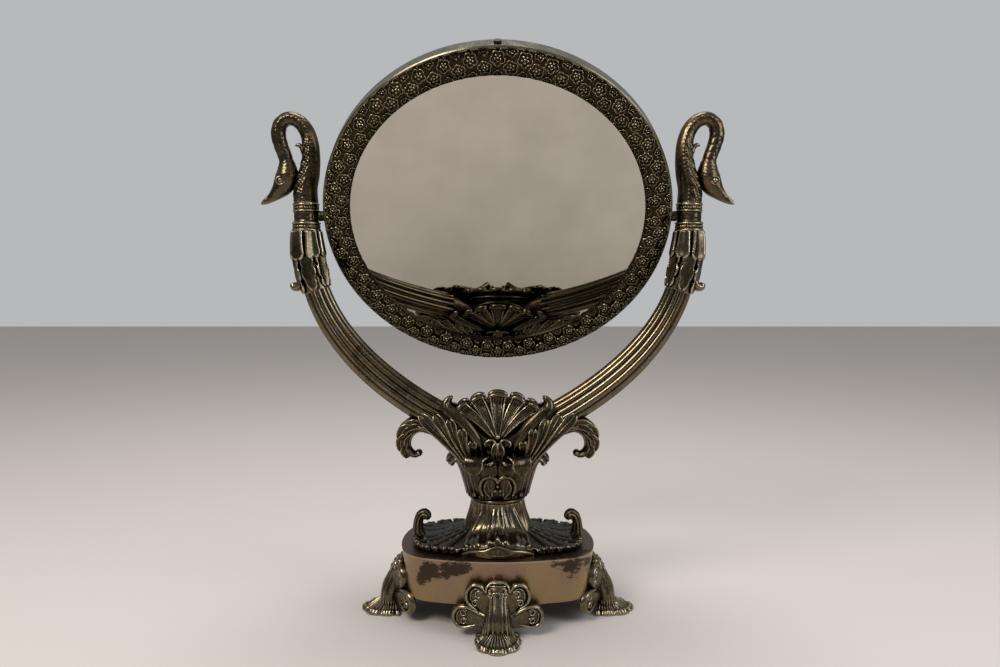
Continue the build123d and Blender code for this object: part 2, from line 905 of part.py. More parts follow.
def bracket_outline():
    """Side view of the right bracket: a leaf tip and two lobes over the hook."""
    low = cup_top + bracket_lift
    foot = (bracket_root_inner, low)
    throat = (bracket_root_inner - bracket_throat_inset, low + bracket_throat_rise)
    heel = (bracket_root_outer, low)
    tip = bracket_point(-0.142, 0.322)
    first_notch = bracket_point(0.025, 0.018)
    second_notch = bracket_point(0.259, -0.058)
    lobe_end = bracket_point(0.523, -0.109)
    under = bracket_point(0.523, -0.312)
    inner = bracket_point(-0.162, -0.566)
    return [
        Line(foot, throat),
        ThreePointArc(throat, bracket_point(-0.53, -0.109), tip),
        ThreePointArc(tip, bracket_point(-0.025, 0.195), first_notch),
        ThreePointArc(first_notch, bracket_point(0.157, 0.063), second_notch),
        ThreePointArc(second_notch, bracket_point(0.406, 0.038), lobe_end),
        Line(lobe_end, under),
        ThreePointArc(under, bracket_point(0.168, -0.322), inner),
        Line(inner, heel),
        Line(heel, foot),
    ]


def bracket_hook():
    """Scroll that hangs from the bracket and hooks back inwards."""
    shares = [
        (0.015, -0.3, 0.36, 0.9),
        (0.269, -0.185, 0.525, 1.0),
        (0.497, -0.206, 0.645, 1.0),
        (0.64, -0.363, 0.595, 0.95),
        (0.624, -0.556, 0.5, 0.8),
        (0.492, -0.668, 0.36, 0.56),
        (0.35, -0.642, 0.215, 0.36),
    ]
    return bent_loft(
        [
            (*bracket_point(out, up), deep * scroll_half_depth, wide * scroll_half_depth)
            for out, up, deep, wide in shares
        ]
    )


def make_scroll():
    """Right bracket: a leaf sleeve round the arm's end and a hooked scroll under it."""
    tube_end = arm_plane(arm_total_turn)
    reach = arm_centre(arm_total_turn)[0] / math.sin(math.radians(arm_total_turn))
    sleeve = loft(
        [
            arm_plane(0.85 * arm_total_turn) * oval(sleeve_radius - 1.0, sleeve_radius - 1.0),
            tube_end * oval(sleeve_radius - 0.4, sleeve_radius),
            tube_end * Pos(0, 0, 0.5 * reach) * oval(sleeve_radius, sleeve_root_radius - 1.0),
            tube_end * Pos(0, 0, 0.92 * reach) * oval(sleeve_radius, sleeve_root_radius),
        ]
    )
    front = Plane(origin=(0, 0, 0), x_dir=(1, 0, 0), z_dir=(0, -1, 0))
    side_view = front * make_face(bracket_outline())
    sleeve &= extrude(side_view, 2 * sleeve_root_radius, both=True)
    bracket = sleeve + bracket_hook() - shell_bed()
    bracket -= arm_tube(arm_end_radius + cover_gap, arm_upper_turn, arm_total_turn)
    return bracket - yoke_form(1.5 * cover_gap)


# Mirror, built upright about its own axis and then tilted


def turned_ring(edges):
    """Ring about the mirror's axis from edges drawn as (radius, forward)."""
    ring = revolved(edges)
    return Pos(*pivot_point) * Rot(90, 0, 0) * ring


def disc(radius, back, front):
    edges = [Polyline((0, back), (radius, back), (radius, front), (0, front), close=True)]
    return turned_ring(edges)


def tilted(shape):
    """Turn a piece of the mirror to its resting tilt."""
    return Pos(*pivot_point) * Rot(rest_tilt, 0, 0) * Pos(0, 0, -pivot_height) * shape


def make_hoop():
    half = hoop_width / 2
    inner = hoop_radius - hoop_wall
    soft = hoop_wall / 3
    points = [
        (inner, -half),
        (hoop_radius - soft, -half),
        (hoop_radius, soft - half),
        (hoop_radius, half - soft),
        (hoop_radius - soft, half),
        (inner, half),
    ]
    hoop = turned_ring([Polyline(*points, close=True)])
    hole = cylinder(pin_radius + seat_gap, inner - 1, hoop_radius + 1)
    for side in (90, -90):
        hoop -= Pos(*pivot_point) * Rot(0, side, 0) * hole
    screw_hole = cylinder(hoop_screw_radius + thread_gap, inner - 1, hoop_radius + 1)
    return hoop - Pos(*pivot_point) * screw_hole


def make_bezel():
    """Front frame ring: domed face, rolled inner lip and a flange in the hoop."""
    face = hoop_width / 2
    outer = hoop_radius - hoop_wall - seat_gap
    inner = bezel_inner_radius
    seat = backing_thickness / 2 + glass_thickness + 2 * seat_gap
    sheet = bezel_thickness
    crown = (outer + inner) / 2
    lip = (inner + sheet, face + bezel_lip_rise)
    edges = [
        Line((outer, face - bezel_flange), (outer, face)),
        ThreePointArc((outer, face), (crown, face + bezel_crown), lip),
        ThreePointArc(lip, (inner + sheet / 6, (face + seat) / 2), (inner + sheet / 3, seat)),
        Line((inner + sheet / 3, seat), (inner + 2 * sheet, seat)),
        ThreePointArc(
            (inner + 2 * sheet, seat), (crown, face + bezel_crown - sheet), (outer - sheet, face - sheet)
        ),
        Line((outer - sheet, face - sheet), (outer - sheet, face - bezel_flange)),
        Line((outer - sheet, face - bezel_flange), (outer, face - bezel_flange)),
    ]
    return turned_ring(edges)


def make_glass():
    back = backing_thickness / 2 + seat_gap
    return disc(bezel_inner_radius + glass_lap, back, back + glass_thickness)


def make_backing_board():
    radius = hoop_radius - hoop_wall - backing_gap
    return disc(radius, -backing_thickness / 2, backing_thickness / 2)


def make_pivot_pin():
    """Right pin: shank in the collar's bore, shoulder outside the hoop."""
    inner = hoop_radius - hoop_wall - pin_nut_height - 1
    waist = arm_offset - collar_waist_radius
    pin = cylinder(pin_radius, inner, waist + pin_bearing_length)
    pin += cylinder(pin_shoulder_radius, hoop_radius + seat_gap, waist - cover_gap)
    return along_x(pin, 0, pivot_height)


def make_pivot_nut():
    nut = hexagon(pin_nut_across_flats, pin_nut_height, pin_radius + thread_gap)
    return along_x(nut, hoop_radius - hoop_wall - seat_gap - pin_nut_height, pivot_height)


def make_hoop_screw():
    seat = hoop_radius + seat_gap
    screw = cylinder(hoop_screw_radius, seat - hoop_screw_length, seat)
    screw += cylinder(hoop_screw_head_radius, seat, seat + hoop_screw_head_height)
    return Pos(*pivot_point) * screw


def flipped(shape):
    """The same piece on the mirror's other face."""
    return shape.mirror(Plane.XZ)


def paired(name, shape):
    """A right-hand piece and its left-hand partner."""
    return {name + "_right": shape, name + "_left": shape.mirror(Plane.YZ)}


def fixed_pieces():
    shell = make_shell_front()
    pieces = {
        "plinth": make_plinth(),
        "foot_screws": make_foot_screws(),
        "column": make_column(),
        "waist_ring": make_waist_ring(),
        "leaf_cup": make_leaf_cup(),
        "arm_yoke": make_arm_yoke(),
        "tie_rod": make_tie_rod(),
        "tie_washer": make_tie_washer(),
        "tie_nut": make_tie_nut(),
        "shell_front": shell,
        "shell_back": shell.mirror(Plane.XZ),
    }
    for name, (angle, distance) in foot_places.items():
        pieces[name] = make_foot(angle, distance)
    pieces.update(paired("leaf", make_leaf()))
    pieces.update(paired("arm", make_arm()))
    pieces.update(paired("sheath", make_sheath()))
    pieces.update(paired("collar", make_collar()))
    pieces.update(paired("swan", make_swan()))
    pieces.update(paired("scroll", make_scroll()))
    return pieces


def mirror_pieces():
    bezel = make_bezel()
    glass = make_glass()
    nut = make_pivot_nut()
    pieces = {
        "hoop": make_hoop(),
        "bezel_front": bezel,
        "bezel_back": flipped(bezel),
        "glass_front": glass,
        "glass_back": flipped(glass),
        "backing_board": make_backing_board(),
        "hoop_screw": make_hoop_screw(),
    }
    pieces.update(paired("pivot_pin", make_pivot_pin()))
    tilted_pieces = {name: tilted(shape) for name, shape in pieces.items()}
    tilted_pieces["pivot_nuts"] = [tilted(nut), tilted(nut.mirror(Plane.YZ))]
    return tilted_pieces


def main():
    os.makedirs("parts", exist_ok=True)
    pieces = fixed_pieces()
    pieces.update(mirror_pieces())
    for name, shape in pieces.items():
        if isinstance(shape, list):
            shape = Compound(children=shape)
        export_step(shape, f"parts/{name}.step")


main()
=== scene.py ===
import bmesh
import bpy
import math
import numpy as np
from mathutils import Euler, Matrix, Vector


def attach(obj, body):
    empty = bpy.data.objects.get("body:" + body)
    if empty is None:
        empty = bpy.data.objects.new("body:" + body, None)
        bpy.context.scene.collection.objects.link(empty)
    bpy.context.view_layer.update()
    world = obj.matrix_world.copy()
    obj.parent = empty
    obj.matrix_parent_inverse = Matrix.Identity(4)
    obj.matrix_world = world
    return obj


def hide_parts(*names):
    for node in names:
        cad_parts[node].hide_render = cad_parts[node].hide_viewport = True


# Swivel table mirror on two swan arms, dressed as silver plate over cast brass.
# Shapes below are drawn in millimetres and made in metres.

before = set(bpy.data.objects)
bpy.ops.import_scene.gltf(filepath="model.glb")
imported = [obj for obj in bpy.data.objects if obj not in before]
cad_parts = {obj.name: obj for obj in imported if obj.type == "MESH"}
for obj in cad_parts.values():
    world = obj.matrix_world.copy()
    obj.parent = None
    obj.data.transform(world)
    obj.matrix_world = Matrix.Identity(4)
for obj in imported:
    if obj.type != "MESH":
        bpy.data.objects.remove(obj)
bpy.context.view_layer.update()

MM = 0.001
FRONT = (0, -1, 0)
RIGHT = (1, 0, 0)

# Camera, from the outline of the hoop, plinth and feet in the photograph
FOCAL_LENGTH = 30.6
CAMERA_PLACE = (0.0, -571.5, 231.9)
CAMERA_PITCH = -4.19
CAMERA_SHIFT = 0.0023

# Main sizes of the object, shared with its construction
PLINTH_TOP = 48.3
COLUMN_HEIGHT = 28.9
COLLAR_BOTTOM = 258.4
COLLAR_TOP = 277.2
PIVOT_HEIGHT = 268.6
REST_TILT = 32.0
ARM_OFFSET = 127.7
ARM_UPPER_RADIUS = 121.0


# Materials


SMOOTH = {"interpolation_type": "SMOOTHSTEP"}
COLOUR = {"data_type": "RGBA"}


def linear(code):
    """Linear colour from an sRGB hex code."""
    channels = [int(code[i : i + 2], 16) / 255 for i in (1, 3, 5)]
    return [c / 12.92 if c <= 0.04045 else ((c + 0.055) / 1.055) ** 2.4 for c in channels] + [1.0]


def add(tree, kind, output, inputs=(), **settings):
    """Add a shader node with its settings, set or link its inputs, and give one output.

    The inputs are in the node's own order, or go by their names or numbers.
    """
    made = tree.nodes.new("ShaderNode" + kind)
    for key, value in settings.items():
        setattr(made, key, value)
    for key, value in inputs.items() if isinstance(inputs, dict) else enumerate(inputs):
        if isinstance(value, bpy.types.NodeSocket):
            tree.links.new(value, made.inputs[key])
        else:
            made.inputs[key].default_value = value
    return made.outputs[output] if made.outputs else None


def new_material(name):
    """Empty material and its node tree."""
    material = bpy.data.materials.new(name)
    material.use_nodes = True
    material.node_tree.nodes.clear()
    return material, material.node_tree


def shade(tree, inputs):
    """Put a Principled shader with these inputs on the material's output."""
    add(tree, "OutputMaterial", None, {"Surface": add(tree, "BsdfPrincipled", "BSDF", inputs)})


def blotches(place, size, detail=3.0, roughness=0.55):
    """Inputs of a noise whose blotches are about size millimetres across."""
    return {"Vector": place, "Scale": 1.0 / (size * MM), "Detail": detail, "Roughness": roughness}


def layered(tree, colour, layers):
    """Lay hex colours over a colour, each by its share."""
    for share, code in layers:
        colour = add(tree, "Mix", 2, {0: share, 6: colour, 7: linear(code)}, **COLOUR)
    return colour


def silver_plate_cast(name, body, light, copper, groove="#070604", depth=3.0, polish=0.2):
    """Silver plate over cast brass, antiqued: black sulphide stays in the grooves, the faces
    are olive grey, copper shows where the plate is worn thin, and the crests are pale: partly
    real polish, partly a painted highlight.

    The depth is the reach in millimetres within which the metal around darkens a groove.
    """
    material, tree = new_material(name)
    place = add(tree, "TexCoord", "Object")
    clouds = add(tree, "TexNoise", "Fac", blotches(place, 8.0))
    patches = add(tree, "TexNoise", "Fac", blotches(place, 15.0, 5.0, 0.65))
    specks = add(tree, "TexNoise", "Fac", blotches(place, 1.3, 4.0, 0.65))
    grain = add(tree, "TexNoise", "Fac", blotches(place, 0.7, 3.0, 0.6))
    crest = add(tree, "Attribute", "Fac", attribute_name="crest")
    reach = {"Distance": depth * MM}
    openness = add(tree, "AmbientOcclusion", "AO", reach, samples=8, only_local=True)
    thin = add(tree, "MapRange", 0, (clouds, 0.46, 0.62), **SMOOTH)
    tarnish = add(tree, "MapRange", 0, (patches, 0.52, 0.68, 0.0, 0.55), **SMOOTH)
    # Crests and flecks take the light colour: partly real rubbed polish, partly a painted highlight.
    proud = add(tree, "MapRange", 0, (crest, 0.05, 0.75), **SMOOTH)
    uneven = add(tree, "MapRange", 0, (specks, 0.32, 0.58, 0.3), **SMOOTH)
    edges = add(tree, "Math", 0, (proud, uneven), operation="MULTIPLY")
    flecks = add(tree, "MapRange", 0, (specks, 0.52, 0.72, 0.0, 0.4), **SMOOTH)
    rubbed_and_highlight = add(tree, "Math", 0, (edges, flecks), operation="MAXIMUM")
    sunk = add(tree, "MapRange", 0, (crest, -0.08, -0.75, 0.0, 0.85), **SMOOTH)
    layers = [(thin, copper), (tarnish, groove), (rubbed_and_highlight, light), (sunk, groove)]
    faces = layered(tree, linear(body), layers)
    bare = add(tree, "MapRange", 0, (openness, 0.35, 0.95), **SMOOTH)
    colour = add(tree, "Mix", 2, {0: bare, 6: linear(groove), 7: faces}, **COLOUR)
    dull = add(tree, "MapRange", 0, (openness, 0.3, 0.9, 0.55, polish), **SMOOTH)
    cloudy = add(tree, "MapRange", 0, (clouds, 0.35, 0.7, 0.0, 0.1), **SMOOTH)
    roughness = add(tree, "Math", 0, (dull, cloudy), operation="ADD")
    bump = add(tree, "Bump", "Normal", {"Strength": 0.25, "Distance": 0.12 * MM, "Height": grain})
    shade(tree, {"Base Color": colour, "Metallic": 1.0, "Roughness": roughness, "Normal": bump})
    return material


# Patches of tarnish on the plinth: place, reach and strength
TARNISH_SPOTS = [
    ((-48, -32, 34), 10, 0.37), ((-42, -35, 39), 10, 0.37), ((-44, -34, 44), 10, 0.35),
    ((-32, -39, 43), 12, 0.35), ((-21, -41, 44), 10, 0.35), ((46, -33, 43), 13, 0.42),
    ((55, -26, 43), 10, 0.42), ((35, -38, 46), 8, 0.38), ((0, 41, 40), 16, 0.3),
]


def silver_plate_drawn(name):
    """Silver plate over drawn brass sheet, on the plinth: smooth and satin, the plate worn
    to a warm brassy tone below, pinkish above, with ragged flakes of black tarnish."""
    material, tree = new_material(name)
    place = add(tree, "TexCoord", "Object")
    streaked = add(tree, "VectorMath", "Vector", (place, (0.7, 0.7, 1.5)), operation="MULTIPLY")
    clouds = add(tree, "TexNoise", "Fac", blotches(place, 26.0, 4.0, 0.6))
    flakes = add(tree, "TexNoise", "Fac", blotches(streaked, 7.0, 8.0, 0.8))
    scuffs = add(tree, "TexNoise", "Fac", blotches(place, 3.0, 6.0, 0.7))
    height = add(tree, "SeparateXYZ", "Z", (place,))
    facing_up = add(tree, "SeparateXYZ", "Z", (add(tree, "NewGeometry", "Normal"),))
    reach = {"Distance": 6.0 * MM}
    openness = add(tree, "AmbientOcclusion", "AO", reach, samples=8, only_local=True)
    upper = add(tree, "MapRange", 0, (height, 24 * MM, 44 * MM, -0.12, 0.12), **SMOOTH)
    tone = add(tree, "Math", 0, (clouds, upper), operation="ADD")
    pinkish = add(tree, "MapRange", 0, (tone, 0.28, 0.72))
    # Painted reflection: faces that look up are darkened, as if they mirrored a dark room above.
    on_top = add(tree, "MapRange", 0, (facing_up, 0.6, 0.95, 0.0, 0.75), **SMOOTH)
    rim = [(PLINTH_TOP - below) * MM for below in (1.3, 0.3)]
    high = add(tree, "MapRange", 0, (height, *rim, 0.0, 0.6), **SMOOTH)
    turned_out = add(tree, "MapRange", 0, (facing_up, 0.9, 0.6), **SMOOTH)
    rim_edge = add(tree, "Math", 0, (high, turned_out), operation="MULTIPLY")
    for spot, radius, strength in TARNISH_SPOTS:
        middle = [c * MM for c in spot]
        gap = add(tree, "VectorMath", "Value", (place, middle), operation="DISTANCE")
        extra = add(tree, "MapRange", 0, (gap, radius * MM, 0.0, 0.0, strength), **SMOOTH)
        flakes = add(tree, "Math", 0, (flakes, extra), operation="ADD")
    black = add(tree, "MapRange", 0, (flakes, 0.63, 0.69, 0.0, 0.85), **SMOOTH)
    matt = add(tree, "MapRange", 0, (flakes, 0.63, 0.69, 0.0, 0.55), **SMOOTH)
    layers = [(pinkish, "#917a69"), (on_top, "#5c4a3c"), (rim_edge, "#b9aa8b"), (black, "#2a231b")]
    faces = layered(tree, linear("#9f8960"), layers)
    bare = add(tree, "MapRange", 0, (openness, 0.3, 0.85), **SMOOTH)
    colour = add(tree, "Mix", 2, {0: bare, 6: linear("#14100b"), 7: faces}, **COLOUR)
    satin = add(tree, "MapRange", 0, (scuffs, 0.3, 0.7, 0.26, 0.4), **SMOOTH)
    roughness = add(tree, "Math", 0, (satin, matt), operation="MAXIMUM")
    bump = add(tree, "Bump", "Normal", {"Strength": 0.1, "Distance": 0.15 * MM, "Height": scuffs})
    shade(tree, {"Base Color": colour, "Metallic": 1.0, "Roughness": roughness, "Normal": bump})
    return material


def mirror_glass(name):
    """Silvered float glass: a clean bright reflection, a touch grey and faintly hazed."""
    material, tree = new_material(name)
    haze = add(tree, "TexNoise", "Fac", blotches(add(tree, "TexCoord", "Object"), 30.0))
    share = add(tree, "MapRange", 0, (haze, 0.3, 0.7))
    colour = layered(tree, linear("#b3aea5"), [(share, "#bfbab1")])
    roughness = add(tree, "MapRange", 0, (haze, 0.3, 0.8, 0.004, 0.02), **SMOOTH)
    shade(tree, {"Base Color": colour, "Metallic": 1.0, "Roughness": roughness})
    return material


def blued_steel(name):
    """Small steel fasteners, blackened by oil and age: dark, with a dull grey wear."""
    material, tree = new_material(name)
    wear = add(tree, "TexNoise", "Fac", blotches(add(tree, "TexCoord", "Object"), 1.2))
    share = add(tree, "MapRange", 0, (wear, 0.4, 0.7))
    colour = layered(tree, linear("#1c1a16"), [(share, "#4c463b")])
    roughness = add(tree, "MapRange", 0, (wear, 0.3, 0.7, 0.5, 0.3), **SMOOTH)
    shade(tree, {"Base Color": colour, "Metallic": 1.0, "Roughness": roughness})
    return material


def fibreboard(name):
    """Pressed brown board behind the glass, matt and fibrous."""
    material, tree = new_material(name)
    fibres = add(tree, "TexNoise", "Fac", blotches(add(tree, "TexCoord", "Object"), 2.0, 6.0, 0.7))
    share = add(tree, "MapRange", 0, (fibres, 0.3, 0.7))
    colour = layered(tree, linear("#4a3826"), [(share, "#6b543a")])
    shade(tree, {"Base Color": colour, "Roughness": 0.9})
    return material


# Each finish gives body, light and copper colours; the light colour on crests is partly polish, partly
# a painted highlight.
cast_silver = silver_plate_cast("silver_plate_cast", "#4d4635", "#a89d82", "#5b4937")
deep_silver = silver_plate_cast("silver_plate_deep", "#3c362a", "#a0957a", "#4a3a2b", depth=3.6)
worn_silver = silver_plate_cast("silver_plate_worn", "#585141", "#b9ad94", "#61533e", polish=0.15)
leaf_silver = silver_plate_cast("silver_plate_leaf", "#2e2a21", "#8d836c", "#3d2f22", polish=0.3)
arm_silver = silver_plate_cast(
    "silver_plate_reeded", "#665e4c", "#b3aa92", "#69583f", depth=4.0, polish=0.12
)
frame_silver = silver_plate_cast("silver_plate_frame", "#262117", "#6f6850", "#2e2418", depth=2.4)
rose_silver = silver_plate_cast("silver_plate_roses", "#3f3928", "#b8ad8b", "#453825", depth=1.4)
hoop_silver = silver_plate_cast("silver_plate_rolled", "#5f5b49", "#958f77", "#6a624d")
dark_steel = blued_steel("blued_steel")

NODES_OF_FINISH = [
    (silver_plate_drawn("silver_plate_plinth"), ["plinth"]),
    (hoop_silver, ["hoop"]),
    (arm_silver, ["arm_left", "arm_right"]),
    (frame_silver, ["bezel_front", "bezel_back"]),
    (mirror_glass("silvered_glass"), ["glass_front", "glass_back"]),
    (fibreboard("pressed_fibreboard"), ["backing_board"]),
    (dark_steel, ["foot_screws", "tie_rod", "tie_washer", "tie_nut", "hoop_screw"]),
    (dark_steel, ["pivot_nuts", "pivot_pin_left", "pivot_pin_right"]),
]
cad_finish = {node: finish for finish, nodes in NODES_OF_FINISH for node in nodes}
for node_name, cad_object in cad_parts.items():
    cad_object.data.materials.clear()
    cad_object.data.materials.append(cad_finish.get(node_name, cast_silver))


# Drawing tools for cast ornament


def unit(vectors):
    return vectors / np.linalg.norm(vectors, axis=-1, keepdims=True)


def smooth_path(points, count):
    """Smooth curve through points, evenly spaced; sizes after x, y, z go along with it."""
    points = np.asarray(points, float)
    lengths = np.linalg.norm(np.diff(points[:, :3], axis=0), axis=1)
    knots = np.concatenate([[0.0], np.cumsum(lengths)])
    slopes = np.gradient(points, knots, axis=0)
    wanted = np.linspace(0.0, knots[-1], count)
    index = np.clip(np.searchsorted(knots, wanted, "right") - 1, 0, len(knots) - 2)
    span = (knots[index + 1] - knots[index])[:, None]
    t = (wanted - knots[index])[:, None] / span
    start, end = points[index], points[index + 1]
    leave, arrive = slopes[index] * span, slopes[index + 1] * span
    back = t * t * (3 - 2 * t)
    return (
        start * (1 - back)
        + end * back
        + leave * t * (1 - t) ** 2
        - arrive * t * t * (1 - t)
    )


def ridge(value, middle, width):
    """Smooth bump of height 1 round a middle value."""
    return np.exp(-(((value - middle) / width) ** 2))


def rings(angle, out_x, out_y, height):
    """Grid of points round the upright axis, one ring to a row."""
    return np.stack([out_x * np.cos(angle), out_y * np.sin(angle), height + 0 * angle], -1)


def grid_faces(rows, columns, wrap_rows=False, wrap_columns=False):
    """Quads of a grid of points, with its rows or columns closed into a loop if asked."""
    row_count = rows if wrap_rows else rows - 1
    column_count = columns if wrap_columns else columns - 1
    row, column = np.meshgrid(np.arange(row_count), np.arange(column_count), indexing="ij")
    next_row = (row + 1) % rows
    next_column = (column + 1) % columns
    corners = [
        row * columns + column,
        row * columns + next_column,
        next_row * columns + next_column,
        next_row * columns + column,
    ]
    return np.stack(corners, -1).reshape(-1, 4)


def grid_normals(points):
    """Unit normals of a grid surface."""
    normals = np.cross(np.gradient(points, axis=1), np.gradient(points, axis=0))
    size = np.linalg.norm(normals, axis=-1, keepdims=True)
    return normals / np.maximum(size, 1e-9)


def section_axes(path, side):
    """Points of a path, the side vector made square to it, and the third direction."""
    path = np.asarray(path, float)[:, :3]
    forward = unit(np.gradient(path, axis=0))
    side = np.broadcast_to(np.asarray(side, float), path.shape)
    side = unit(side - forward * np.sum(side * forward, axis=1, keepdims=True))
    return path, side, np.cross(forward, side)


class Casting:
    """One piece while it is drawn: its points in millimetres and its faces."""

    def __init__(self):
        self.blocks = []
        self.faces = []
        self.count = 0

    def add(self, points, faces):
        points = np.asarray(points, float).reshape(-1, 3)
        self.faces += [[int(i) + self.count for i in face] for face in faces]
        self.blocks.append(points)
        self.count += len(points)
        return self

    def join(self, other, change=lambda points: points):
        """Add another casting, its points changed on the way."""
        return self.add(change(np.concatenate(other.blocks)), other.faces)

    def moved(self, *place):
        """The same casting, shifted to a place."""
        self.blocks = [block + place for block in self.blocks]
        return self

    def ringed(self, points):
        """Closed body from a grid whose rows are rings, capped at both ends."""
        rows, around = points.shape[:2]
        caps = [range(around), range((rows - 1) * around, rows * around)]
        return self.add(points, [*grid_faces(rows, around, wrap_columns=True), *caps])

    def tube(self, path, side, half_side, half_other, relief=0.0, around=32):
        """Closed bar along a path; its section's first axis points to the side vector.

        The relief is a function of length along, angle around and share along.
        """
        path, side, other = section_axes(path, side)
        angle = np.linspace(0, 2 * np.pi, around, endpoint=False)[None, :]
        share = np.linspace(0, 1, len(path))[:, None]
        steps = np.linalg.norm(np.diff(path, axis=0), axis=1)
        length = np.concatenate([[0.0], np.cumsum(steps)])[:, None]
        height = relief(length, angle, share) if callable(relief) else relief
        out_side = (np.reshape(half_side, (-1, 1)) + height) * np.cos(angle)
        out_other = (np.reshape(half_other, (-1, 1)) + height) * np.sin(angle)
        points = path[:, None] + out_side[..., None] * side[:, None]
        return self.ringed(points + out_other[..., None] * other[:, None])

    def bar(self, stations, count, relief=0.0, around=32, side=FRONT, y=0.0):
        """Tube in an upright plane; each station is (x, z, half thickness, half width)."""
        path = smooth_path([(x, y, z, *sizes) for x, z, *sizes in stations], count)
        return self.tube(path, side, path[:, 4], path[:, 3], relief, around)

    def slab(self, middle, thickness, relief=0.0):
        """Closed plate on both sides of a grid surface, carved in relief on its front."""
        normals = grid_normals(middle)
        half = np.broadcast_to(np.asarray(thickness, float) / 2, middle.shape[:2])
        front = middle + normals * (half + relief)[..., None]
        back = middle - normals * half[..., None]
        return self.between(front, back)

    def between(self, front, back):
        """Closed solid between two grids of points."""
        rows, columns = front.shape[:2]
        size = rows * columns
        faces = [*grid_faces(rows, columns), *(grid_faces(rows, columns)[:, ::-1] + size)]
        rim = [
            *range(columns),
            *range(2 * columns - 1, size, columns),
            *range(size - 2, size - columns - 1, -1),
            *range(size - 2 * columns, 0, -columns),
        ]
        for here, there in zip(rim, rim[1:] + rim[:1]):
            faces.append((here, here + size, there + size, there))
        return self.add(np.concatenate([front.reshape(-1, 3), back.reshape(-1, 3)]), faces)

    def leaf(self, path, side, half_width, lobes=0, lobe_depth=0.2, cup=0.0, vein=0.35,
             midrib=0.5, thickness=1.4, across=21):
        """Carved leaf along a path.

        The lobes notch both edges, a groove runs in from each notch to the midrib, and a
        positive cup bends the edges down.
        """
        path, side, other = section_axes(path, side)
        share = np.linspace(0, 1, len(path))[:, None]
        place = np.linspace(-1, 1, across)[None, :]
        half_width = np.reshape(half_width, (-1, 1))
        wave = share - LOBE_SLANT * np.abs(place) / max(lobes, 1)
        finger = np.abs(np.sin(np.pi * lobes * wave)) if lobes else np.ones_like(wave)
        half = half_width * (1 - lobe_depth * (1 - finger**0.6) * np.abs(place))
        middle = path[:, None] + side[:, None] * (half * place)[..., None]
        middle = middle + other[:, None] * (cup * place**2 * np.ones_like(share))[..., None]
        relief = midrib * ridge(place, 0, 0.13) + vein * (finger**0.8 - 0.6) * np.abs(place) ** 0.7
        soft = np.minimum(1.0, 3.0 * half_width / np.max(half_width))
        body = thickness * (1 - 0.55 * place**4) * (0.35 + 0.65 * soft)
        return self.slab(middle, body, relief * soft)

    def ball(self, centre, radii, around=14):
        """Ellipsoid, for an eye, a bead or a berry."""
        theta = np.linspace(0, np.pi, around // 2 + 2)[:, None]
        phi = np.linspace(0, 2 * np.pi, around, endpoint=False)[None, :]
        shape = rings(phi, np.sin(theta), np.sin(theta), np.cos(theta))
        points = shape * np.asarray(radii, float) + np.asarray(centre, float)
        return self.add(points, grid_faces(len(theta), around, wrap_columns=True))


LOBE_SLANT = 0.22
CREST_SMOOTHING = 4


def bulge(count, start, peak, tip, where=0.45):
    """Half widths of a leaf: from its root, over its widest place, to its tip."""
    share = np.linspace(0, 1, count)
    rise_part = start + (peak - start) * np.sin(np.clip(share / where, 0, 1) * np.pi / 2)
    fall = np.clip((share - where) / (1 - where), 0, 1)
    return rise_part - (peak - tip) * (1 - np.cos(fall * np.pi / 2)) ** 1.3


def spoon(count, stem, head, where=0.76):
    """Half widths of a lobe: a narrow stem that widens to a round spoon-shaped end."""
    share = np.linspace(0, 1, count)
    grow = np.clip(share / where, 0, 1) ** 1.6
    end = np.clip((share - where) / (1 - where), 0, 1)
    return (stem + (head - stem) * grow) * np.sqrt(1 - 0.97 * end**2)


def spiral(centre, start_radius, end_radius, start_angle, turns, count=40):
    """Flat spiral in the XZ plane, for a scroll."""
    angle = math.radians(start_angle) + np.linspace(0, 2 * np.pi * turns, count)
    radius = np.linspace(start_radius, end_radius, count)
    x = centre[0] + radius * np.cos(angle)
    z = centre[2] + radius * np.sin(angle)
    return np.stack([x, np.full(count, float(centre[1])), z], -1)


def left_handed(points):
    return points * (-1, 1, 1)


def behind(points):
    return points * (1, -1, 1)


def mark_crests(mesh, smoothing):
    """Store how far each point stands proud: positive on crests, negative in grooves."""
    count = len(mesh.vertices)
    points, normals = np.empty(3 * count), np.empty(3 * count)
    mesh.vertices.foreach_get("co", points)
    mesh.vertices.foreach_get("normal", normals)
    points, normals = points.reshape(-1, 3) / MM, normals.reshape(-1, 3)
    edges = np.empty(2 * len(mesh.edges), int)
    mesh.edges.foreach_get("vertices", edges)
    first, second = edges.reshape(-1, 2).T
    step = points[second] - points[first]
    square = np.maximum(np.sum(step**2, axis=1), 1e-4)
    bend_first = -2 * np.sum(step * normals[first], axis=1) / square
    bend_second = 2 * np.sum(step * normals[second], axis=1) / square
    degree = np.maximum(np.bincount(edges, minlength=count), 1)
    crest = np.bincount(first, np.clip(bend_first, -4, 4), count)
    crest = (crest + np.bincount(second, np.clip(bend_second, -4, 4), count)) / degree
    for _ in range(smoothing):
        around = np.bincount(first, crest[second], count) + np.bincount(second, crest[first], count)
        crest = 0.5 * crest + 0.5 * around / degree
    mesh.attributes.new("crest", "FLOAT", "POINT").data.foreach_set("value", crest)


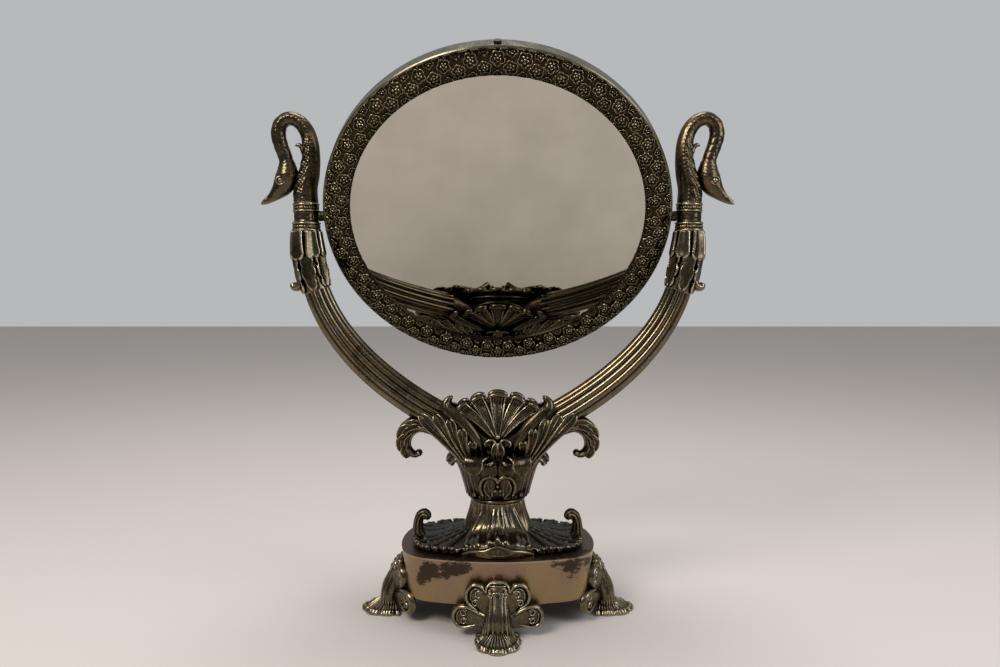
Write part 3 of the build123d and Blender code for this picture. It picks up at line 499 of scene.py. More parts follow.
def make(name, casting, finish, body, *nodes, smoothing=CREST_SMOOTHING):
    """Make a piece from its casting, on its body and in place of its CAD nodes."""
    mesh = bpy.data.meshes.new(name)
    points = np.concatenate(casting.blocks) * MM
    mesh.from_pydata(points.tolist(), [], casting.faces)
    shape = bmesh.new()
    shape.from_mesh(mesh)
    bmesh.ops.remove_doubles(shape, verts=shape.verts, dist=0.003 * MM)
    bmesh.ops.recalc_face_normals(shape, faces=shape.faces)
    for face in shape.faces:
        face.smooth = True
    shape.to_mesh(mesh)
    shape.free()
    mark_crests(mesh, smoothing)
    mesh.materials.append(finish)
    piece = bpy.data.objects.new(name, mesh)
    bpy.context.scene.collection.objects.link(piece)
    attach(piece, body)
    if nodes:
        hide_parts(*nodes)


# Swans, collars and sheaths


# Stations of the swan, from the middle of its collar's top: x, z, half thickness, half width
SWAN_NECK = [
    (0.0, 0.15, 8.1, 8.1), (0.0, 8.8, 7.7, 7.6), (-2.6, 19.8, 6.8, 6.9), (-4.0, 30.8, 5.8, 6.0),
    (-3.4, 40.3, 5.3, 5.4), (-0.4, 48.6, 4.9, 5.0), (4.9, 54.1, 4.5, 4.7), (10.7, 55.5, 4.4, 4.5),
    (15.9, 52.1, 4.6, 4.5), (17.6, 45.8, 4.8, 4.5), (16.0, 37.8, 4.6, 4.4), (13.2, 29.8, 4.5, 4.4),
    (12.2, 22.8, 4.5, 4.4),
]
SWAN_HEAD = [
    (12.9, 29.5, 4.1, 4.1), (12.2, 24.3, 5.9, 5.1), (12.4, 17.3, 7.6, 6.2), (15.6, 10.8, 6.7, 5.6),
    (19.6, 6.4, 4.5, 4.2), (23.4, 3.2, 2.9, 3.0), (27.0, 1.0, 2.0, 2.4), (29.8, -0.5, 0.8, 1.1),
]
SWAN_BUD = [(0.8, 33.5, 2.2, 2.2), (2.6, 37.0, 1.6, 1.6), (5.0, 38.4, 1.2, 1.2), (6.3, 37.4, 0.7, 0.7)]
SWAN_EYE = (15.6, 14.4)


def swan_plumage(length, angle, share):
    """Long slanting feathers on the outer half of the lower shaft, a beaded ridge beside
    them, then soft overlapping down."""
    across = -np.sin(angle)
    front = np.abs(np.cos(angle))
    low = np.clip((46.0 - length) / 8.0, 0, 1) * np.clip(length / 2.0, 0, 1)
    outer_half = np.clip((0.15 - across) * 4.0, 0, 1)
    feather = (1 - np.mod(length / 6.7 - 2.45 * across, 1.0)) ** 0.7
    quill = 0.1 * np.cos(2 * np.pi * (length / 2.4 + 1.6 * across))
    bead = 0.7 + 0.3 * np.cos(2 * np.pi * length / 2.6)
    beads = bead * ridge(across, 0.22, 0.1) * front * np.clip((84.0 - length) / 12.0, 0, 1)
    down_a = np.abs(np.sin(np.pi * (length / 5.2 + 2.5 * angle / np.pi)))
    down_b = np.abs(np.sin(np.pi * (length / 5.2 - 2.5 * angle / np.pi)))
    down = np.sqrt(down_a * down_b) * np.clip((length - 40.0) / 16.0, 0, 1)
    feathers = low * outer_half * (1.1 * feather + quill) * (0.3 + 0.7 * front)
    return feathers + 0.35 * beads + 0.2 * down


def swan_face(length, angle, share):
    """Full cheeks, a bill hollowed along its sides, and down on the back of the head."""
    cheek = 0.9 * ridge(share, 0.3, 0.12) * np.abs(np.cos(angle)) ** 3
    bill = -0.7 * np.clip((share - 0.6) * 6, 0, 1) * ridge(np.abs(np.cos(angle)), 1.0, 0.25)
    down = 0.14 * np.cos(6 * angle + 2.4 * length) * np.clip((0.5 - share) * 5, 0, 1)
    return cheek + bill * np.clip((1 - share) * 6, 0, 1) + down


def draw_swan():
    """Swan's neck bent over on itself: shaft, bend, falling neck, head, beak and bud."""
    swan = Casting()
    swan.bar(SWAN_NECK, 230, swan_plumage, 72)
    swan.bar(SWAN_HEAD, 60, swan_face, 44)
    x, z = SWAN_EYE
    for side in (-1, 1):
        swan.ball((x, side * 5.9, z), (1.7, 1.0, 1.7))
        rim = spiral((x, side * 6.0, z), 2.6, 2.6, 0, 0.97, 22)
        swan.tube(rim, FRONT, 0.55, 0.5, around=8)
    swan.bar(SWAN_BUD, 14, around=12)
    return swan.moved(ARM_OFFSET, 0, COLLAR_TOP)


# Outline of the collar: radius and height above its bottom
COLLAR_PROFILE = [
    (8.4, 0.0), (9.3, 0.15), (9.75, 0.7), (9.7, 1.3), (9.1, 1.7), (9.0, 4.6), (9.55, 5.0), (9.5, 5.6),
    (8.6, 6.1), (8.15, 6.9), (8.1, 12.0), (8.3, 12.9), (8.85, 13.3), (8.8, 13.9), (8.35, 14.2),
    (8.35, 17.0), (8.85, 17.4), (8.8, 18.2), (8.3, 18.65),
]


def draw_collar():
    """Two banded rings with a row of chased squares in each, and a panelled waist."""
    profile = smooth_path([(r, 0, z) for r, z in COLLAR_PROFILE], 110)
    height = profile[:, 2][:, None]
    angle = np.linspace(0, 2 * np.pi, 144, endpoint=False)[None, :]
    low_band = np.clip(1 - np.abs(height - 3.15) / 1.45, 0, 1)
    high_band = np.clip(1 - np.abs(height - 15.6) / 1.4, 0, 1)
    square = np.abs(np.sin(8 * angle))
    chasing = (low_band + high_band) * (0.9 * np.sqrt(square) - 0.35 * ridge(square, 1.0, 0.2))
    panels = 0.4 * np.abs(np.sin(4 * angle)) ** 0.5
    waist = np.clip(1 - np.abs(height - 9.4) / 2.2, 0, 1) * panels
    out = profile[:, 0][:, None] + chasing * 1.15 + waist
    return Casting().ringed(rings(angle, out, out, height)).moved(ARM_OFFSET, 0, COLLAR_BOTTOM)


def along_arm(length, radius, around):
    """Point and radial direction beside the right arm, below the collar.

    Around is the angle in degrees from the front, through the outer side.
    """
    turn = np.asarray(length, float) / ARM_UPPER_RADIUS
    turn_angle = math.radians(around)
    outward = np.stack([np.cos(turn), 0 * turn, -np.sin(turn)], -1)
    centre = outward * ARM_UPPER_RADIUS + (ARM_OFFSET - ARM_UPPER_RADIUS, 0, COLLAR_BOTTOM)
    radial = math.sin(turn_angle) * outward + math.cos(turn_angle) * np.array(FRONT, float)
    side = math.cos(turn_angle) * outward - math.sin(turn_angle) * np.array(FRONT, float)
    return centre + radial * np.reshape(radius, (-1, 1)), side


SHEATH_LENGTH = 40.5
SHEATH_RADIUS = 8.5
# Curled tip: x, z, half thickness, half width
SHEATH_TIP = [
    (129.0, 231.0, 2.8, 4.0), (131.2, 225.6, 3.08, 4.4), (133.6, 221.8, 3.08, 4.4),
    (136.4, 221.4, 2.66, 3.8), (137.6, 224.0, 1.82, 2.6),
]


def draw_sheath():
    """Core under two tiers of six leaf lobes below the collar, and one tip curled outwards."""
    sheath = Casting()
    core, _ = along_arm(np.linspace(0, SHEATH_LENGTH, 50), 0, 0)
    half = np.linspace(8.3, SHEATH_RADIUS, 50)
    sheath.tube(core, FRONT, half, half, around=48)
    share = np.linspace(0, 1, 34)
    swell = np.sin(np.pi * share)
    for around in range(0, 360, 60):
        radius = SHEATH_RADIUS + 1.7 * share**3 + 0.7 * swell
        path, side = along_arm(18.0 * share, radius, around + 30)
        lobe = spoon(34, 3.4, 4.7, 0.8)
        sheath.leaf(path, side, lobe, cup=1.1, vein=2.4, midrib=0.4, thickness=1.8)
        radius = SHEATH_RADIUS + 0.3 * share**3 + 0.5 * swell
        path, side = along_arm(12 + 27.5 * share, radius, around)
        notched = {"lobes": 3, "lobe_depth": 0.24, "cup": 1.2, "vein": 1.5}
        sheath.leaf(path, side, bulge(34, 3.2, 4.6, 1.2, 0.55), midrib=0.8, thickness=1.6, **notched)
    return sheath.bar(SHEATH_TIP, 26, around=28)


# Mirror frame


# Section of the domed frame: radius, and height forward of the mirror's middle
BEZEL_CIRCLE = [(113.05, 6.2), (105.7, 7.9), (98.35, 6.7)]
FLORET_RINGS = 15
FLORET_POINTS = 50


def crown_height(radius):
    """Height of the frame's domed face at a radius, forward of the mirror's middle."""
    (r0, h0), (r1, h1), (r2, h2) = BEZEL_CIRCLE
    first = h0 * (radius - r1) * (radius - r2) / ((r0 - r1) * (r0 - r2))
    second = h1 * (radius - r0) * (radius - r2) / ((r1 - r0) * (r1 - r2))
    third = h2 * (radius - r0) * (radius - r1) / ((r2 - r0) * (r2 - r1))
    return first + second + third


def floret(radius):
    """Rose in relief: a raised five-pointed edge, hollow petals, small buds and a heart."""
    share = np.linspace(0.0, 1.0, FLORET_RINGS)[:, None]
    angle = np.linspace(0, 2 * np.pi, FLORET_POINTS, endpoint=False)[None, :]
    petal = np.abs(np.cos(2.5 * angle))
    edge = 1.5 * ridge(share, 0.87, 0.07)
    buds = 1.0 * ridge(share, 0.38, 0.1) * petal**1.5
    seams = -0.6 * ridge(petal, 0.0, 0.22) * ridge(share, 0.62, 0.22)
    heart = 1.1 * ridge(share, 0.0, 0.13)
    fall = -2.6 * np.clip((share - 0.94) / 0.06, 0, 1)
    reach = share * radius * (0.76 + 0.24 * petal**0.9)
    return rings(angle, reach, reach, 0.05 + edge + buds + seams + heart + fall)


FLORETS_AROUND = 42
# Rows of roses: radius of the row, its start in steps, and a rose's radius
FLORET_ROWS = [
    (98.6, 0.5, 3.1), (102.9, 0.0, 5.0), (108.2, 0.5, 5.0), (112.6, 0.0, 3.8), (112.7, 0.5, 2.0),
    (98.7, 0.0, 1.9),
]
# Nearest and furthest that a rose reaches from the mirror's middle, and the turn between roses
FLORET_REACH = (97.9, 113.7)
TURN_STEP = 2.4


def draw_florets(face):
    """Rows of roses all round one face of the frame; face is 1 in front, -1 behind."""
    flowers = Casting()
    faces = grid_faces(FLORET_RINGS, FLORET_POINTS, wrap_columns=True)
    tilt = math.radians(REST_TILT)
    number = 0
    for row_radius, start, size in FLORET_ROWS:
        for index in range(FLORETS_AROUND):
            number += 1
            shape = floret(size * (1.0 + 0.05 * math.sin(5.1 * number)))
            twist = TURN_STEP * number
            across = shape[..., 0] * math.cos(twist) - shape[..., 1] * math.sin(twist)
            around = shape[..., 0] * math.sin(twist) + shape[..., 1] * math.cos(twist)
            radius = np.clip(row_radius + across, *FLORET_REACH)
            angle = 2 * np.pi * (index + start) / FLORETS_AROUND + around / row_radius
            y = -face * (crown_height(radius) + shape[..., 2])
            z = radius * np.sin(angle)
            tipped_y = y * math.cos(tilt) - z * math.sin(tilt)
            tipped_z = y * math.sin(tilt) + z * math.cos(tilt)
            flowers.add(np.stack([radius * np.cos(angle), tipped_y, tipped_z], -1), faces)
    return flowers.moved(0, 0, PIVOT_HEIGHT)


# Shell and brackets


# Where the staves meet, and how far the fan leans back
SHELL_FOOT = (0.0, -12.6, 118.0)
SHELL_LEAN = 18.0
# Staves of the shell: angle from upright, reach and half width of the cap
STAVES = [
    (0.0, 30.0, 6.5), (26.5, 30.8, 5.3), (-26.5, 30.8, 5.3), (47.0, 32.8, 5.0), (-47.0, 32.8, 5.0)
]
STAVE_ROWS = 44


def on_shell(points):
    """From the shell's own upright plane to its place, leaning back; front is to -y in both."""
    lean = math.radians(SHELL_LEAN)
    x, y, z = points[..., 0], points[..., 1], points[..., 2]
    back = z * math.sin(lean) + y * math.cos(lean)
    up = z * math.cos(lean) - y * math.sin(lean)
    return np.stack([x, back, up], -1) + SHELL_FOOT


def draw_stave(shell, angle, reach, lip_half):
    """One hollow stave between raised borders, rolled forward into a round cap."""
    along = np.linspace(1.5, reach + 0.8, STAVE_ROWS)
    share = (along - along[0]) / (along[-1] - along[0])
    turn = np.radians(angle * (0.84 + 0.16 * share**2))
    outward = np.stack([np.sin(turn), 0 * turn, np.cos(turn)], -1)
    side = np.stack([np.cos(turn), 0 * turn, -np.sin(turn)], -1)
    path = along[:, None] * outward
    path[:, 1] = -1.2 - 1.6 * np.sin(np.pi * share) - 2.8 * np.clip((share - 0.8) / 0.2, 0, 1) ** 2
    half = 1.2 + (0.95 * lip_half - 1.2) * share**0.95
    place = np.linspace(-1, 1, 41)[None, :]
    middle = path[:, None] + side[:, None] * (half[:, None] * place)[..., None]
    middle[..., 1] -= (0.5 + 1.5 * share[:, None]) * place**2
    across = np.abs(place)
    borders = 1.0 * ridge(across, 0.9, 0.1) - 0.7 * ridge(across, 0.7, 0.07)
    borders = borders + 0.5 * ridge(across, 0.54, 0.07) - 0.4 * ridge(across, 0.4, 0.06)
    shell.slab(on_shell(middle), 1.4, borders * (0.3 + 0.7 * share[:, None]))
    spot = np.linspace(-1, 1, 33)
    rounded = reach + 1.6 - 2.6 * np.abs(spot) ** 2.6
    cap = rounded[:, None] * outward[-1] + (lip_half * spot)[:, None] * side[-1]
    cap[:, 1] = -4.6 + 1.2 * spot**2
    thick = 1.75 * np.sqrt(1 - 0.8 * spot**6)
    shell.tube(on_shell(cap), FRONT, 1.1 * thick, thick, around=28)


BUD_FRONT = -17.0
# Right curl over the bud: x, z, half thickness; right half of the bud: x, y, z, half width
BUD_CURL = [
    (0.9, 113.4, 0.8), (1.0, 117.2, 1.1), (3.2, 120.4, 1.1), (6.4, 120.2, 1.0), (8.6, 117.8, 0.9),
    (7.9, 115.8, 0.6),
]
HALF_BUD = [
    (1.0, -17.0, 118.6, 1.0), (2.1, -18.2, 114.6, 2.1), (2.4, -18.4, 110.8, 2.1),
    (1.4, -17.4, 106.8, 0.8),
]


def draw_shell():
    """Fan of five hollow staves with rolled caps, a bead, two curls and a bud below."""
    shell = Casting()
    for stave in STAVES:
        draw_stave(shell, *stave)
    ground = np.stack(np.meshgrid(np.linspace(-1, 1, 41), np.linspace(0.1, 1, 12)), -1)
    spread = ground[..., 0] * math.radians(52)
    reach = ground[..., 1] * 31.0
    backing = np.stack([reach * np.sin(spread), 0.9 + 0 * reach, reach * np.cos(spread)], -1)
    shell.slab(on_shell(backing), 1.6)
    shell.ball((0, BUD_FRONT, 122.6), (1.9, 1.9, 1.9), 18)
    for side in (-1, 1):
        curl = [(side * x, z, 0.9 * half, 1.1 * half) for x, z, half in BUD_CURL]
        shell.bar(curl, 40, around=12, y=BUD_FRONT)
        half_bud = smooth_path([(side * x, y, z, half) for x, y, z, half in HALF_BUD], 26)
        shell.leaf(half_bud, RIGHT, half_bud[:, 3], cup=0.8, midrib=-0.5, thickness=1.8)
    return shell


BRACKET_DEPTH = 13.0
# Lobes in the bracket's side view: root, middle and tip as (x, z), half width of the end
FINGERS = [
    ((15.2, 104.6), (16.4, 111.6), (17.0, 119.2), 3.0),
    ((17.0, 104.6), (22.0, 116.4), (23.9, 127.6), 3.3),
    ((18.8, 104.6), (27.2, 119.6), (32.2, 134.0), 3.5),
    ((20.6, 104.6), (32.2, 121.4), (41.5, 136.8), 3.7),
    ((22.4, 104.6), (37.2, 122.0), (51.6, 137.0), 3.9),
]
HOOK_LOBES = [
    ((43.0, 125.6), (55.0, 129.6), (65.4, 125.2), 3.7),
    ((52.0, 127.2), (61.6, 126.6), (67.0, 119.4), 3.6),
    ((58.4, 124.0), (64.4, 119.4), (65.6, 110.8), 3.2),
    ((61.6, 117.6), (63.2, 112.4), (61.0, 106.2), 2.7),
]
# Blade beside the shell: x, z, how far forward, half width
BLADE = [
    (11.0, 105.5, -1.6, 1.8), (11.8, 112.5, -0.2, 2.6), (14.4, 120.6, 0.6, 3.2),
    (18.8, 127.0, 1.0, 3.5), (24.4, 132.6, 1.4, 3.9), (29.8, 136.8, 1.6, 4.2),
    (33.6, 140.4, 1.0, 3.9), (34.2, 144.6, -0.6, 2.6), (31.4, 149.0, -2.2, 0.6),
]
# Stations of the stem and its hook: x, z, half thickness, half width
STEM = [
    (15.5, 104.3, 8.0, 13.2), (22.0, 112.5, 7.8, 13.4), (31.0, 120.5, 6.8, 12.4),
    (43.0, 126.0, 4.8, 10.4), (54.0, 128.2, 3.8, 8.4),
]
HOOK = [
    (38.0, 123.8, 4.6, 9.0), (47.5, 127.4, 4.3, 8.4), (55.2, 126.8, 4.3, 7.4),
    (60.6, 122.8, 4.2, 6.4), (62.4, 117.2, 3.8, 5.7), (61.6, 112.0, 3.3, 5.0),
    (58.8, 108.7, 2.8, 4.5), (55.6, 107.7, 2.4, 4.0), (53.2, 108.8, 2.1, 3.4),
]


def bracket_front(x, z):
    """How far the bracket's front bulges at a place in its side view."""
    down = np.clip((z - 104.0) / 34.0, 0, 1)
    out = np.clip((x - 8.0) / 52.0, 0, 1)
    return BRACKET_DEPTH + 2.6 * np.sin(np.pi * down) - 2.8 * out**2


def stem_grooves(length, angle, share):
    return 0.5 * np.cos(15 * angle) * np.clip(share * 4 + 0.4, 0, 1)


def hook_grooves(length, angle, share):
    return 0.45 * np.cos(9 * angle) * (1 - share)


def lobe_line(spots, count):
    """Smooth line through (x, z) spots in the bracket's middle plane."""
    return smooth_path([(x, 0, z) for x, z in spots], count)


def side_leaf(bracket, face, x, z, depth, half, **form):
    """Leaf that follows an outline in the bracket's side view, at a depth from its middle."""
    path = np.stack([x, face * depth, z], -1)
    side = np.cross((0, -face, 0), unit(np.gradient(path, axis=0)))
    bracket.leaf(path, side, half, **form)


def draw_bracket():
    """Acanthus bracket: a smooth blade by the shell, spoon-ended fingers, a leafy hook."""
    bracket = Casting()
    bracket.bar(STEM, 60, stem_grooves, 96)
    bracket.bar(HOOK, 90, hook_grooves, 60)
    bracket.ball((53.6, 0, 108.7), (2.6, 4.2, 2.5), 20)
    share = np.linspace(0, 1, 44)
    bare = {"vein": 0.0, "thickness": 1.7}
    for face in (-1, 1):
        for number, (*spots, head) in enumerate(FINGERS):
            x, _, z = lobe_line(spots, 44).T
            depth = bracket_front(x, z) + 0.9 + 1.7 * share**2 + 0.2 * number - 2.2 * share**8
            widths = spoon(44, 1.2, head, 0.84)
            side_leaf(bracket, face, x, z, depth, widths, cup=-1.3, midrib=0.45, **bare)
        blade = smooth_path(BLADE, 60)
        x, z = blade[:, 0], blade[:, 1]
        if face > 0:
            z = z - 3.2 * np.linspace(0, 1, 60) ** 4
        depth = bracket_front(x, z) + blade[:, 2] + 0.6
        smooth = {"cup": 1.5, "midrib": -0.3, "vein": 0.0, "thickness": 2.2}
        side_leaf(bracket, face, x, z, depth, blade[:, 3], **smooth)
        for number, (*spots, head) in enumerate(HOOK_LOBES):
            x, _, z = lobe_line(spots, 44).T
            depth = 6.6 - 0.7 * number + 1.2 * np.sin(np.pi * share) - 1.4 * share**3
            widths = spoon(44, 1.4, head, 0.6)
            side_leaf(bracket, face, x, z, depth, widths, cup=-0.9, midrib=0.5, **bare)
    for *spots, head in HOOK_LOBES:
        widths = bulge(30, 2.4, 4.2, 1.0, 0.5)
        bracket.leaf(lobe_line(spots, 30), FRONT, widths, cup=1.0, midrib=0.6, thickness=1.8)
    return bracket


# Cup of leaves, column and base leaves


# Section of the cup's wall, up the outside and down the inside: radius and height
CUP_PROFILE = [
    (17.6, 80.3), (18.6, 84.0), (20.4, 90.0), (22.0, 96.0), (23.2, 101.0), (23.0, 103.4),
    (20.8, 104.0), (19.6, 100.0), (17.6, 92.0), (15.6, 84.4), (15.2, 80.6),
]
# Leaves of the cup: radius, height, half width
CUP_LEAF_BIG = [
    (18.8, 80.8, 4.6), (20.4, 86.5, 5.6), (21.9, 92.5, 6.6), (23.4, 98.5, 7.4), (24.8, 103.5, 7.8),
    (26.2, 107.6, 8.0), (28.4, 110.0, 8.2), (30.6, 109.8, 8.2), (32.0, 107.4, 7.6),
    (32.3, 104.4, 6.4), (31.8, 101.8, 4.2), (31.2, 100.2, 1.8),
]
CUP_LEAF_LOBE = [
    (21.0, 87.0, 2.6), (22.6, 93.0, 4.0), (24.0, 99.0, 5.0), (25.4, 103.6, 5.0), (27.2, 106.6, 4.4),
    (29.0, 107.2, 3.4), (29.8, 106.2, 1.8),
]
CUP_LEAF_SIDE = [
    (18.8, 81.0, 5.6), (20.6, 88.0, 6.4), (22.6, 95.0, 6.8), (24.8, 101.2, 7.0), (27.4, 105.2, 6.8),
    (30.2, 106.8, 6.0), (32.3, 105.8, 4.4), (33.4, 103.2, 2.0),
]
CORNER_LEAVES = (62, 118, 242, 298)
LOBE_TURN = 15
# Cartouche: right half of its frame as (x, z), right petal as (x, z, half width), beads as (x, z)
CARTOUCHE_FRAME = [
    (10.0, 83.6), (11.2, 88.0), (10.8, 92.4), (8.6, 96.2), (4.8, 97.6), (1.6, 96.2), (0.0, 93.6)
]
CARTOUCHE_PETAL = [(4.4, 83.4, 1.2), (6.2, 88.6, 3.0), (5.2, 94.4, 2.4)]
CARTOUCHE_BEADS = [(-1.8, 87.4), (1.8, 87.4), (0.0, 90.8)]


def cup_leaf(casting, angle, stations, **form):
    """Leaf of the cup at an angle round it."""
    c, s = math.cos(math.radians(angle)), math.sin(math.radians(angle))
    path = smooth_path([(r * c, r * s, z, half) for r, z, half in stations], 60)
    casting.leaf(path, (-s, c, 0), path[:, 3], **form)


def on_cup(x, z, proud):
    """Place on the front of the cup, standing proud of its wall."""
    radii, heights = np.transpose(CUP_PROFILE[:5])
    wall = np.interp(z, heights, radii) + proud
    return np.stack([x, -np.sqrt(wall**2 - x**2), z], -1)


def draw_cartouche():
    """Frame of two lobes low on the cup, with hollow petals and three beads inside."""
    cartouche = Casting()
    for side in (-1, 1):
        x, z, _ = smooth_path([(side * x, z, 0) for x, z in CARTOUCHE_FRAME], 50).T
        cartouche.tube(on_cup(x, z, 1.9), FRONT, 1.7, np.linspace(1.1, 1.5, 50), around=16)
        x, z, half = smooth_path([(side * x, z, half) for x, z, half in CARTOUCHE_PETAL], 30).T
        cartouche.leaf(on_cup(x, z, 1.0), RIGHT, half, cup=-0.9, midrib=0.4)
    for x, z in CARTOUCHE_BEADS:
        cartouche.ball(on_cup(x, z, 1.0), (1.2, 1.2, 1.2))
    return cartouche


def draw_cup():
    """Bell of leaves whose tips fold over, with a cartouche in front and behind."""
    radius, height = np.transpose(CUP_PROFILE)[..., None]
    points = rings(np.radians(np.arange(0, 360, 4))[None, :], radius, radius, height)
    wall = grid_faces(*points.shape[:2], wrap_rows=True, wrap_columns=True)
    cup = Casting().add(points, wall)
    for angle in (0, 180):
        plain = {"cup": 1.4, "midrib": 0.8, "vein": 0.4, "lobes": 2, "lobe_depth": 0.15}
        for turn in (-1.4 * LOBE_TURN, 1.4 * LOBE_TURN):
            cup_leaf(cup, angle + turn, CUP_LEAF_SIDE, thickness=3.2, **plain)
        veined = {"cup": 1.8, "midrib": 0.9, "vein": 0.5, "lobes": 3, "lobe_depth": 0.15}
        cup_leaf(cup, angle, CUP_LEAF_SIDE, thickness=3.6, **veined)
    for angle in CORNER_LEAVES:
        for turn in (-LOBE_TURN, LOBE_TURN):
            cup_leaf(cup, angle + turn, CUP_LEAF_LOBE, cup=1.3, midrib=-0.5, vein=0.0, thickness=2.6)
        folded = {"cup": 1.6, "midrib": -0.9, "vein": 1.0, "lobes": 4, "lobe_depth": 0.16}
        cup_leaf(cup, angle, CUP_LEAF_BIG, across=31, thickness=2.2, **folded)
    cartouche = draw_cartouche()
    return cup.join(cartouche).join(cartouche, behind)


# Stem of the column, above the plinth: height, half width and half depth
COLUMN_STATIONS = [
    (0.0, 27.0, 27.0), (2.4, 24.6, 24.0), (6.0, 23.6, 22.2), (11.5, 22.2, 20.0), (18.0, 20.0, 17.6),
    (24.0, 18.4, 16.4), (28.9, 17.6, 16.2),
]
# Line of the front tongue: distance forward, height, half width
TONGUE_PATH = [
    (14.0, 76.4, 9.5), (16.6, 68.0, 14.6), (19.8, 61.5, 20.0), (24.8, 57.8, 23.8), (30.5, 56.6, 25.2),
    (35.2, 56.4, 25.0), (38.3, 54.2, 23.6), (39.7, 51.4, 22.0), (39.6, 48.9, 20.2),
]
# Folds of the tongue, as shares of its half width: place above, place below, width, height in mm
TONGUE_FOLDS = [
    (0.02, 0.03, 0.07, 1.5), (0.2, 0.22, 0.075, 2.3), (0.36, 0.35, 0.045, 0.9),
    (0.5, 0.48, 0.08, 2.2), (0.66, 0.63, 0.045, 0.9), (0.82, 0.79, 0.08, 2.0),
]
TONGUE_EDGE = 49.2


def draw_tongue(column, face):
    """Knuckled tongue of folds that runs out over the plinth; face is -1 in front, 1 behind."""
    path = smooth_path([(0, y, z, half) for y, z, half in TONGUE_PATH], 84)
    forward, height, half = path.T[1:, :, None]
    place = np.linspace(-1, 1, 81)[None, :]
    along = np.linspace(0, 1, 84)[:, None]
    low = np.clip((along - 0.2) / 0.5, 0, 1)
    z = height - (height - TONGUE_EDGE) * np.abs(place) ** 3 * low
    y = face * (forward - 6.5 * place**2 * (0.3 + along))
    middle = np.stack([half * place, y, z], -1)
    relief = -0.7
    for top, bottom, width, rise in TONGUE_FOLDS:
        for hand in (-1, 1):
            line = hand * (top + (bottom - top) * along + 0.02 * np.sin(5 * along + 9 * top))
            swell = 0.55 + 0.45 * np.sin(2.6 * along + 7 * top) + 0.5 * ridge(along, 0.77, 0.05)
            relief = relief + rise * swell * ridge(place, line, width)
    lip_top = 0.83 - 0.03 * np.cos(np.pi * np.clip(place / 0.42, -1, 1))
    on_top = np.clip((lip_top - along) * 22, 0, 1) * np.clip(along * 6, 0.3, 1)
    relief = relief * on_top - 1.0 * ridge(along - lip_top, 0, 0.02)
    relief = relief + 0.7 * ridge(along - lip_top, 0.05, 0.025) + 0.4 * ridge(along, 0.97, 0.04)
    column.slab(middle if face > 0 else middle[:, ::-1], 2.6, relief)


def draw_column():
    """Stem of flowing folds, with a tongue at the front and one behind."""
    out_x, out_y, height = smooth_path([(x, y, z) for z, x, y in COLUMN_STATIONS], 90).T[..., None]
    share = height / COLUMN_HEIGHT
    angle = np.linspace(0, 2 * np.pi, 288, endpoint=False)[None, :]
    drift = angle + 0.13 * np.sin(3 * angle + 0.7) + 0.06 * np.sin(7 * angle + 2.4 * share)
    fold = np.abs(np.cos(5.5 * drift)) ** 0.8
    fine = np.abs(np.cos(16.5 * drift + 1.5 * share))
    depth = 1.0 + 2.6 * np.sin(np.pi * np.clip(share * 1.05, 0, 1)) + 0.9 * (1 - share)
    relief = depth * (fold - 0.75) + 0.45 * fine
    column = Casting().ringed(rings(angle, out_x + relief, out_y + relief, PLINTH_TOP + height))
    for face in (-1, 1):
        draw_tongue(column, face)
    return column


LEAF_ROOT = 14.0
LEAF_REACH = 57.0
LEAF_HALF_DEPTH = 33.6
LEAF_LOBES = 9
# Stations of the leaf's upright tip: x, z, half thickness, half width
FINIAL = [
    (52.2, 50.2, 3.6, 4.8), (54.2, 53.5, 3.7, 4.8), (54.5, 58.0, 3.2, 4.4), (53.9, 62.4, 2.9, 4.2),
    (52.2, 65.8, 3.0, 4.4), (49.8, 66.8, 3.0, 4.6), (48.2, 65.0, 2.6, 4.4), (49.2, 63.4, 1.8, 3.8),
]


def leaf_edge(turn, inset=0.0):
    """Place on the base leaf's edge, seen from above."""
    c, s = np.cos(turn), np.sin(turn)
    x = LEAF_ROOT + (LEAF_REACH - LEAF_ROOT - inset) * np.sign(c) * np.abs(c) ** 0.7
    y = (LEAF_HALF_DEPTH - inset) * np.sign(s) * np.abs(s) ** 0.7
    return x, y


def fluting(length, angle, share):
    return 0.35 * np.cos(8 * angle)


def draw_frill(leaf, index, count):
    """One of the spoon-ended leaflets that turn up along the leaf's edge."""
    turn = (index / (count - 1) - 0.5) * np.pi * 1.06
    root = np.array([*leaf_edge(turn, 8.0), PLINTH_TOP])
    edge = np.array([*leaf_edge(turn + 0.02 * (index % 3 - 1), 0.4), PLINTH_TOP])
    out = unit(edge - root)
    top = 4.2 + 0.6 * math.sin(7.0 * index)
    spots = [(-3.4, 1.0), (-1.2, 1.6), (-0.6, top - 0.8), (0.4, top), (1.0, top - 1.1)]
    line = [root + (0, 0, 3.6), *(edge + along * out + (0, 0, up) for along, up in spots)]
    widths = spoon(30, 1.3, 2.5, 0.7)
    leaf.leaf(smooth_path(line, 30), (-out[1], out[0], 0), widths, cup=0.5, midrib=0.5, thickness=1.6)


